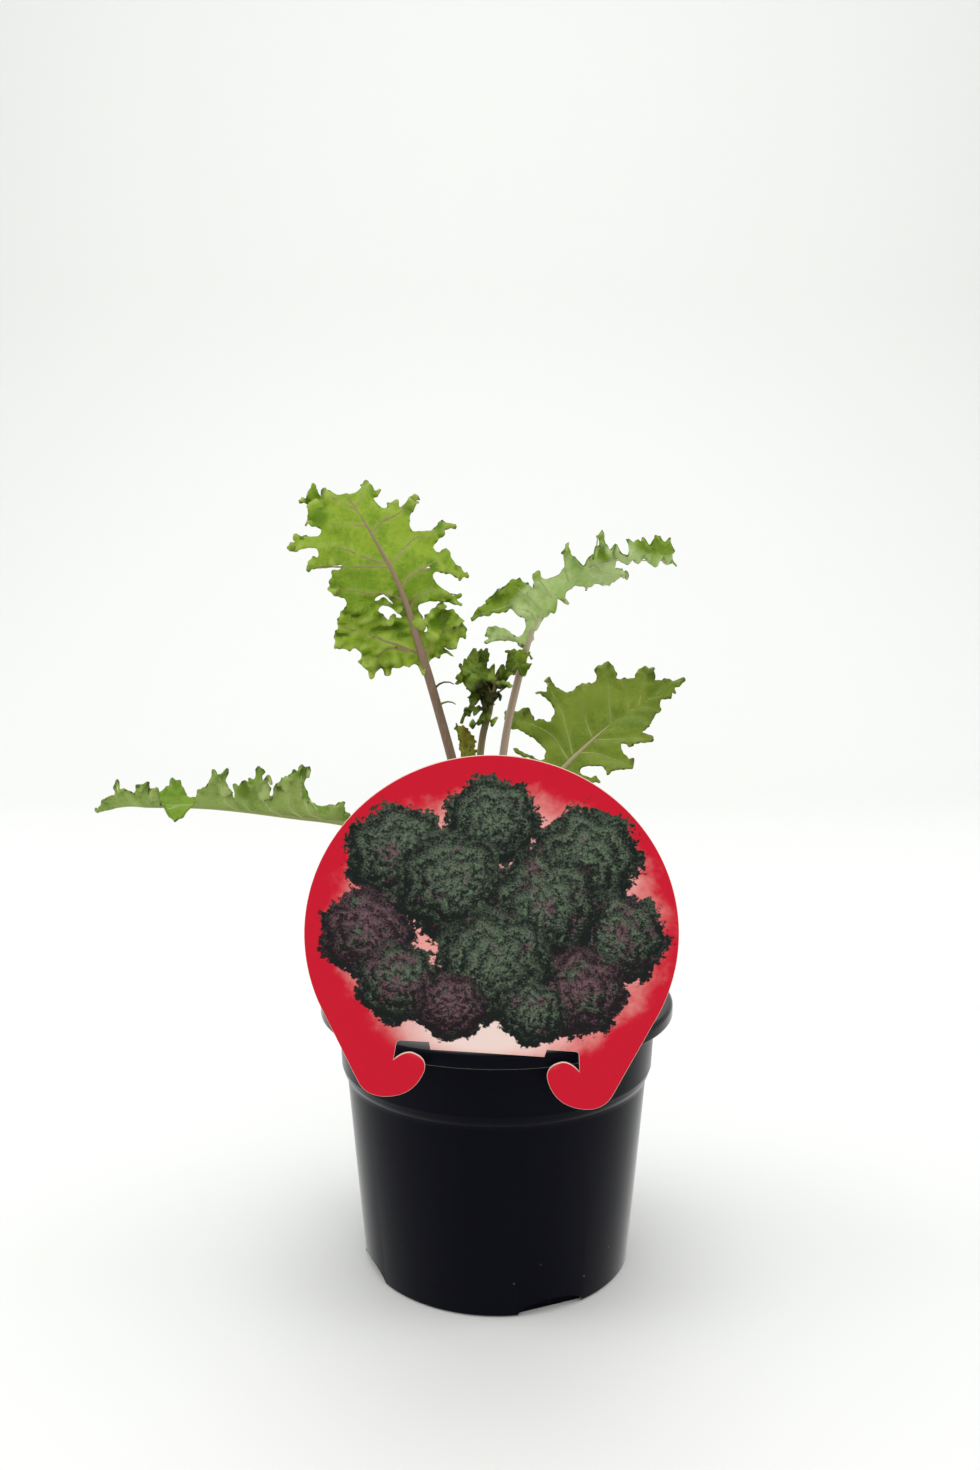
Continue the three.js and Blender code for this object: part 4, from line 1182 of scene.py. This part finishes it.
class KALE_OT_soil(bpy.types.Operator):
    """Make the compost that fills the pot, with crumbs on its top"""

    bl_idname = "kale.soil"
    bl_label = "Soil"

    def execute(self, context):
        s = context.scene.kale_soil
        rings = 34
        sides = 96
        top = [(SOIL_EDGE + (STEM_HOLE - SOIL_EDGE) * i / rings, SOIL_LEVEL) for i in range(rings + 1)]
        profile = [(0, 2.1), (35.0, 2.1), (38.6, 7.0), (43.2, 56.9), (SOIL_EDGE - 0.6, 60.5)] + top
        profile += [(STEM_HOLE, 56.0), (0, 56.0)]
        points, faces = turned(profile, sides)
        placed = []
        for x, y, z in points:
            radius = math.hypot(x, y)
            if z >= SOIL_LEVEL - 0.1:
                lumps = math.sin(x * 0.31 + 1) * math.cos(y * 0.27) + 0.5 * math.sin(x * 0.7 - y * 0.55)
                clod = noise.fractal(Vector((x * 0.25, y * 0.25, 3.0)), 1.0, 2.0, 4)
                z += 0.75 * lumps + 0.9 * clod * min(1, (SOIL_EDGE - radius) / 4)
            if radius < 12:
                x += STEM_X * max(0.0, 1 - max(0.0, radius - STEM_HOLE) / 9)
            placed.append((x, y, z))
        finish = soil_finish("peat compost", (0.012, 0.008, 0.006), (0.045, 0.029, 0.018))
        soil = new_piece("soil_surface", placed, faces, [finish])
        settle(soil, "soil")
        grain = soil_finish("peat crumbs", (0.02, 0.013, 0.009), (0.085, 0.055, 0.032))

        def bears_crumbs(face):
            return all(placed[i][2] > SOIL_LEVEL - 2.5 and math.hypot(*placed[i][:2]) < SOIL_EDGE - 2
                       and math.hypot(placed[i][0] - STEM_X, placed[i][1]) > 6 for i in face)

        crumbs = new_piece("soil_crumbs", placed, [face for face in faces if bears_crumbs(face)], [])
        area = math.pi * (SOIL_EDGE * MM) ** 2
        run_tree(crumbs, crumb_tree(), Density=s.crumbs / area, Smallest=s.smallest, Largest=s.largest,
                 Seed=s.seed, Finish=grain)
        settle(crumbs, "soil")
        return {"FINISHED"}


class KALE_OT_stem(bpy.types.Operator):
    """Make the short main stem with its leaf scars"""

    bl_idname = "kale.stem"
    bl_label = "Stem"

    def execute(self, context):
        steps = 70
        sides = 28
        low, high = STEM_RADII
        points = [(STEM_X, 0, STEM_FOOT + (STEM_TOP - STEM_FOOT) * i / (steps - 1)) for i in range(steps)]
        radii = []
        for _, _, z in points:
            share = (z - STEM_FOOT) / (STEM_TOP - STEM_FOOT)
            swell = sum(0.28 * math.exp(-((z - scar) / 0.9) ** 2) for scar in LEAF_SCARS)
            close = min(1.0, (STEM_TOP - z) / 1.5) ** 0.5
            radii.append((low + (high - low) * share + swell) * max(close, 0.05))
        finish = stalk_finish("stem skin", (0.30, 0.24, 0.16), (0.24, 0.27, 0.10), 80, 118)
        stem = bars("stem_bar", [(points, radii, [0] * steps)], finish, sides, bar_tree())
        settle(stem, "stem")
        return {"FINISHED"}


class KALE_OT_leaves(bpy.types.Operator):
    """Make every leaf: its blade with lobes, teeth and frills, and its stalk with ribs and veins"""

    bl_idname = "kale.leaves"
    bl_label = "Leaves"

    def execute(self, context):
        s = context.scene.kale_leaf
        # Each face's colours: base, deep, light, tooth tip, and the dark-spot colour, which is deep colour
        # with painted shade; the young face's near-black one is painted shadow in its curled middle.
        green = {
            "pale": leaf_finish("pale underside", (0.24, 0.35, 0.026), (0.13, 0.23, 0.008),
                                (0.36, 0.46, 0.10), (0.05, 0.025, 0.02), (0.085, 0.18, 0.004)),
            "upper": leaf_finish("green upper face", (0.15, 0.255, 0.018), (0.075, 0.165, 0.006),
                                 (0.25, 0.36, 0.06), (0.05, 0.02, 0.02), (0.06, 0.14, 0.004)),
            "grey": leaf_finish("grey-green underside", (0.41, 0.53, 0.21), (0.28, 0.42, 0.10),
                                (0.50, 0.60, 0.30), (0.05, 0.02, 0.015), (0.18, 0.29, 0.012)),
            "side": leaf_finish("side leaf's underside", (0.25, 0.34, 0.08), (0.14, 0.23, 0.03),
                                (0.38, 0.46, 0.17), (0.05, 0.02, 0.015), (0.10, 0.18, 0.01)),
            "olive": leaf_finish("olive upper face", (0.145, 0.20, 0.018), (0.092, 0.145, 0.007),
                                 (0.22, 0.29, 0.055), (0.06, 0.025, 0.025), (0.08, 0.13, 0.004), 0.42),
            "curly": leaf_finish("green young face", (0.17, 0.235, 0.010), (0.06, 0.105, 0.003),
                                 (0.26, 0.38, 0.08), (0.04, 0.015, 0.015), (0.014, 0.012, 0.003)),
            "bud": leaf_finish("yellow bud face", (0.19, 0.20, 0.01), (0.10, 0.085, 0.006),
                               (0.28, 0.30, 0.04), (0.05, 0.02, 0.02), (0.10, 0.05, 0.01)),
        }
        stalks = {
            "mauve": stalk_finish("mauve stalk", (0.135, 0.092, 0.052), (0.19, 0.115, 0.08), 120, 200,
                                  (0.24, 0.165, 0.105)),
            "fawn": stalk_finish("fawn stalk", (0.30, 0.235, 0.165), (0.33, 0.25, 0.18), 120, 200,
                                 (0.42, 0.38, 0.26)),
            "olive": stalk_finish("olive stalk", (0.24, 0.20, 0.11), (0.24, 0.19, 0.11), 120, 200,
                                  (0.30, 0.26, 0.14)),
            "green": stalk_finish("pale green stalk", (0.30, 0.28, 0.09), (0.27, 0.31, 0.09), 100, 140),
            "brown": stalk_finish("brown-green stalk", (0.18, 0.19, 0.05), (0.11, 0.08, 0.03), 140, 160),
        }
        veins = {
            "mauve": vein_finish("mauve veins", (0.24, 0.175, 0.08), (0.27, 0.25, 0.08)),
            "olive": vein_finish("olive veins", (0.19, 0.21, 0.05), (0.23, 0.27, 0.06)),
            "green": vein_finish("pale green veins", (0.30, 0.38, 0.12), (0.36, 0.44, 0.16)),
            "brown": vein_finish("dark veins", (0.05, 0.05, 0.012), (0.12, 0.14, 0.03)),
        }
        looks = {
            "leaf_upper_left": ("upper", "pale", "mauve", "mauve"),
            "leaf_upper_right": ("upper", "grey", "fawn", "green"),
            "leaf_right": ("olive", "pale", "olive", "olive"),
            "leaf_left": ("upper", "side", "green", "green"),
            "leaf_centre": ("curly", "curly", "brown", "brown"),
            "leaf_bud": ("bud", "bud", "brown", "brown"),
        }
        group = bar_tree()
        for i, (name, leaf) in enumerate(LEAVES.items()):
            upper, under, stalk, vein = looks[name]
            blade, *drawn = blade_piece(name, leaf, s, [green[upper], green[under]], s.seed + i)
            settle(blade, name)
            stalk_paths, vein_paths, wisp_paths = bar_paths(name, leaf, *drawn, s)
            settle(bars(name + "_rib", stalk_paths, stalks[stalk], 16, group), name)
            settle(bars(name + "_veins", vein_paths, veins[vein], 8, group), name)
            if wisp_paths:
                settle(bars(name + "_wisps", wisp_paths, veins["brown"], 8, group), name)
        return {"FINISHED"}


# The card in its own millimetres: across and up from the disc's middle.
CARD_RADIUS = 47.4
CARD_FOOT_SHIFT = 1.1
CARD_LEAN = 5.0
CARD_ROLL = 4.0
CARD_MIDDLE = (-1.6, 110.6)
CARD_PLANE = -52.2


def card_outline():
    """The card's outline from the tongue's middle, anticlockwise as seen from the front."""

    def bend(start, corner, end, steps=10):
        t = np.linspace(0, 1, steps + 1)[1:, None]
        start, corner, end = (np.array(p, float) for p in (start, corner, end))
        return ((1 - t) ** 2 * start + 2 * t * (1 - t) * corner + t * t * end).tolist()

    half = [(0, -31.0), (14.7, -31.0), (15.2, -29.0), (22.4, -29.0)]
    half += bend((22.4, -29.0), (23.6, -29.0), (23.6, -30.2), 4)
    half += [(24.1, -34.5)]
    for corner, end in (((21.6, -31.9), (19.4, -32.2)), ((15.2, -33.4), (15.9, -37.0)),
                        ((18.2, -44.6), (26.0, -44.9)), ((31.0, -45.0), (33.1, -40.8))):
        half += bend(half[-1], corner, end)
    first = -math.radians(25)
    last = math.pi - first
    steps = 180
    disc = [(CARD_RADIUS * math.cos(first + (last - first) * k / steps),
             CARD_RADIUS * math.sin(first + (last - first) * k / steps)) for k in range(steps + 1)]
    right = [(x + CARD_FOOT_SHIFT, y) for x, y in half]
    left = [(2 * CARD_FOOT_SHIFT - x, y) for x, y in right[:0:-1]]
    return right + disc + left


def card_finish(s):
    """The card's front: red, a pale glow in the middle, and a printed heap of leafy rosettes."""
    shade = Shade("printed card front", Specular_IOR_Level=0.12)
    flat = shade.map()
    x, y, _ = shade.parts(flat)
    wander = shade.noise(flat, 1.6, 4, 0.6)
    ripple = shade.noise(flat, 7.0, 4, 0.65)

    def away(cx, cy, wide=1.0, tall=1.0):
        return (((x - cx) / wide) ** 2.0 + ((y - cy) / tall) ** 2.0) ** 0.5

    pale = 1 - shade.steps(away(-0.1, -2.6, 2.6, 0.95), 0.3, 1.05)
    halo = 1 - shade.steps(away(0.2, 0.2, 1.15, 1.0) + (wander - 0.5) * 1.2, 2.9, 3.9)
    colour = shade.mix(halo * 0.8, tuple(s.red), (0.80, 0.40, 0.36))
    colour = shade.mix(pale, colour, (0.80, 0.62, 0.57))
    for cx, cy, size, tint in CARD_ROSETTES:
        angle = shade.node("ShaderNodeMath", {"operation": "ARCTAN2"}, {0: y - cy, 1: x - cx})
        frill = (angle * 7.0 + wander * 9.0).sine() * 0.06 + (ripple - 0.5) * 0.55
        reach = away(cx, cy) / size + frill
        inside = 1 - shade.steps(reach, 0.95, 1.0)
        rings = ((reach * 3.4 + (angle * 5.0 + cx).sine() * 0.2) * 6.28).sine() * 0.5 + 0.5
        volume = (y - cy) * (0.35 / size) - reach * 0.5
        leafy = printed_leaves(shade, rings, volume, ripple, wander, flat, tint)
        dark = shade.steps(reach, 0.7, 1.0) * 0.5
        leafy = shade.mix(dark, leafy, (0.006, 0.008, 0.008))
        colour = shade.mix(inside, colour, leafy)
    fine = shade.noise(flat, 40, 2)
    bump = shade.bump(fine, 0.02, 0.2)
    return shade.finish(Base_Color=colour, Roughness=0.36 + fine * 0.12, Normal=bump)


# Printed rosettes, in centimetres on the card: middle, size, and 0 for green to 1 for purple.
CARD_ROSETTES = [
    (-0.2, 3.0, 1.25, 0.1),
    (-2.45, 2.0, 1.4, 0.3),
    (2.2, 2.2, 1.45, 0.05),
    (-3.15, -0.1, 1.25, 0.8),
    (3.2, 0.2, 1.3, 0.45),
    (-1.1, 1.3, 1.5, 0.2),
    (1.25, 0.9, 1.6, 0.35),
    (-2.3, -1.35, 1.15, 0.5),
    (2.35, -1.3, 1.25, 0.75),
    (0.1, -0.75, 1.6, 0.15),
    (-0.9, -1.9, 0.95, 0.9),
    (1.2, -1.95, 0.9, 0.3),
]


def printed_leaves(shade, rings, volume, ripple, wander, flat, tint):
    """The colour of a rosette's curly leaves, light on their tops and dark between them."""
    curls = shade.cells(flat, 16.0)
    grain = shade.noise(flat, 22, 5, 0.7)
    rough = rings * 0.4 + curls * 0.5 + (grain - 0.5) * 1.9 + (ripple - 0.5) * 1.6
    light = shade.steps(rough + volume, -0.12, 1.05)
    green = shade.mix(light, (0.003, 0.006, 0.005), (0.125, 0.165, 0.11))
    green = shade.mix(shade.steps(ripple, 0.58, 0.66) * light * 0.7, green, (0.07, 0.22, 0.08))
    purple = shade.mix(light, (0.007, 0.004, 0.006), (0.16, 0.09, 0.105))
    purple = shade.mix(shade.steps(ripple, 0.6, 0.68) * 0.6, purple, (0.16, 0.02, 0.05))
    blend = shade.steps(wander + (ripple - 0.5) * 0.6, 0.66 - 0.4 * tint, 0.8 - 0.4 * tint)
    return shade.mix(blend, green, purple)


class KALE_OT_card(bpy.types.Operator):
    """Make the clipped card with its printed front and bare edge"""

    bl_idname = "kale.card"
    bl_label = "Card"

    def execute(self, context):
        s = context.scene.kale_card
        outline = card_outline()
        lean = math.radians(CARD_LEAN)
        roll = math.radians(CARD_ROLL)
        start_y = CARD_PLANE - (CARD_MIDDLE[1] - POT_HEIGHT) * math.tan(lean)
        half = s.thickness / MM / 2

        def lay(u, w, out):
            x = u * math.cos(roll) + w * math.sin(roll)
            z = -u * math.sin(roll) + w * math.cos(roll)
            y = -out
            return (
                CARD_MIDDLE[0] + x,
                start_y + y * math.cos(lean) - z * math.sin(lean),
                CARD_MIDDLE[1] + z * math.cos(lean) + y * math.sin(lean),
            )

        count = len(outline)
        border = inset(outline, 0.1)
        rings = [(outline, -half), (outline, half - 0.06), (inset(outline, 0.06), half), (border, half)]
        points = [lay(u, w, out) for ring, out in rings for u, w in ring]
        faces = [tuple(range(count))]
        indices = [2]
        for ring in range(len(rings) - 1):
            for k in range(count):
                j = (k + 1) % count
                low = ring * count
                faces.append((low + j, low + k, low + count + k, low + count + j))
                indices.append(1)
        faces.append(tuple((len(rings) - 1) * count + k for k in reversed(range(count))))
        indices.append(0)
        edge = Shade("bare card edge", Specular_IOR_Level=0.3)
        fibre = edge.noise(edge.place(), 2500, 2)
        edge.finish(Base_Color=edge.mix(fibre, tuple(s.edge), (0.72, 0.52, 0.44)), Roughness=0.6)
        back = Shade("plain card back", Specular_IOR_Level=0.35)
        grain = back.noise(back.place(), 1200, 3)
        back.finish(Base_Color=back.mix(grain, (0.74, 0.73, 0.70), (0.80, 0.79, 0.77)),
                    Roughness=0.5 + grain * 0.1, Normal=back.bump(grain, 0.02, 0.3))
        finishes = [card_finish(s), edge.material, back.material]
        card = new_piece("card", points, faces, finishes, indices, False)
        flat = card.data.uv_layers.new(name="flat")
        where = [p for ring, _ in rings for p in ring]
        for loop in card.data.loops:
            flat.data[loop.index].uv = [c / 10 for c in where[loop.vertex_index]]
        face_outwards(card)
        settle(card, "label")
        return {"FINISHED"}


def inset(outline, distance):
    """The outline moved inwards by a distance; it runs anticlockwise."""
    moved = []
    count = len(outline)
    for k in range(count):
        before, here, after = (np.array(outline[(k + d) % count], float) for d in (-1, 0, 1))
        normals = []
        for a, b in ((before, here), (here, after)):
            along = b - a
            size = np.linalg.norm(along)
            if size > 1e-6:
                normals.append(np.array((-along[1], along[0])) / size)
        average = sum(normals) / len(normals)
        size = max(np.linalg.norm(average), 0.5)
        moved.append(tuple(here + average / size ** 2 * distance))
    return moved


class KALE_OT_stage(bpy.types.Operator):
    """Make the pale floor, the lights and the camera"""

    bl_idname = "kale.stage"
    bl_label = "Stage"

    def execute(self, context):
        s = context.scene.kale_stage
        floor = Shade("pale floor", Specular_IOR_Level=0.2, Roughness=0.7)
        floor.finish(Base_Color=tuple(s.floor))
        sweep = new_piece("floor", *self.sweep(s.reach / MM), [floor.material])
        self.lights(context)
        self.camera(context)
        return {"FINISHED"}

    def sweep(self, reach):
        """A floor that bends up into a backdrop."""
        line = [(-reach, 0), (BEND_START, 0)]
        line += [(BEND_START + BEND_RADIUS * math.sin(t), BEND_RADIUS - BEND_RADIUS * math.cos(t))
                 for t in np.linspace(0.1, 1.57, 16)]
        line += [(BEND_START + BEND_RADIUS, BACKDROP_TOP)]
        points = [(x, y, z) for y, z in line for x in (-reach, reach)]
        faces = [(2 * i, 2 * i + 1, 2 * i + 3, 2 * i + 2) for i in range(len(line) - 1)]
        return points, faces

    def lights(self, context):
        world = bpy.data.worlds.new("soft room")
        context.scene.world = world
        world.use_nodes = True
        sky = world.node_tree.nodes["Background"].inputs
        sky["Color"].default_value = (1.0, 0.995, 0.98, 1)
        sky["Strength"].default_value = 0.96
        # Each lamp's name, place in metres, width in metres and power in watts.
        for name, place, size, power in (
            ("overhead softbox", (0.0, 0.2, 1.5), 1.6, 5.5),
            ("left softbox", (-1.2, 0.0, 0.6), 1.1, 6.5),
            ("right softbox", (1.2, 0.0, 0.6), 1.1, 4.5),
            ("front fill", (0.3, -1.5, 1.1), 0.9, 3.0),
            ("backdrop softbox", (0.0, 0.6, 2.2), 1.5, 9.0),
        ):
            aim = (0, 1.6, 0.9) if name.startswith("backdrop") else (0, 0, 0.1)
            light = bpy.data.lights.new(name, "AREA")
            light.shape = "DISK"
            light.size = size
            light.energy = power
            lamp = bpy.data.objects.new(name, light)
            lamp.location = place
            lamp.rotation_euler = (Vector(aim) - Vector(place)).to_track_quat("-Z", "Y").to_euler()
            context.scene.collection.objects.link(lamp)
        context.scene.view_settings.view_transform = "Standard"

    def camera(self, context):
        camera = bpy.data.cameras.new("camera")
        camera.sensor_width = SENSOR
        camera.lens = SENSOR * LENS_PX / PICTURE_HEIGHT_PX
        seat = bpy.data.objects.new("camera", camera)
        seat.location = CAMERA_PLACE
        seat.rotation_euler = (math.radians(90 - CAMERA_TILT), 0, 0)
        context.scene.collection.objects.link(seat)
        context.scene.camera = seat


class KALE_PT_panel(bpy.types.Panel):
    """Lists the seedling's pieces and their sizes"""

    bl_label = "Kale"
    bl_idname = "KALE_PT_panel"
    bl_space_type = "VIEW_3D"
    bl_region_type = "UI"
    bl_category = "Kale"

    def draw(self, context):
        layout = self.layout
        for operator, settings in PIECES:
            box = layout.box()
            box.operator(operator.bl_idname)
            group = getattr(context.scene, settings, None)
            for name in group.__annotations__ if group else ():
                box.prop(group, name)


PIECES = [
    (KALE_OT_stage, "kale_stage"),
    (KALE_OT_pot, "kale_pot"),
    (KALE_OT_soil, "kale_soil"),
    (KALE_OT_stem, ""),
    (KALE_OT_leaves, "kale_leaf"),
    (KALE_OT_card, "kale_card"),
]
GROUPS = {
    "kale_pot": PotSettings,
    "kale_soil": SoilSettings,
    "kale_leaf": LeafSettings,
    "kale_card": CardSettings,
    "kale_stage": StageSettings,
}
CLASSES = [*GROUPS.values(), *(operator for operator, _ in PIECES), KALE_PT_panel]


def register():
    for made in CLASSES:
        bpy.utils.register_class(made)
    for name, group in GROUPS.items():
        setattr(bpy.types.Scene, name, bpy.props.PointerProperty(type=group))


def unregister():
    for name in GROUPS:
        delattr(bpy.types.Scene, name)
    for made in reversed(CLASSES):
        bpy.utils.unregister_class(made)


def main():
    register()
    bpy.ops.kale.stage()
    bpy.ops.kale.pot()
    bpy.ops.kale.soil()
    bpy.ops.kale.stem()
    bpy.ops.kale.leaves()
    bpy.ops.kale.card()
    bpy.context.view_layer.update()


if __name__ == "__main__":
    main()
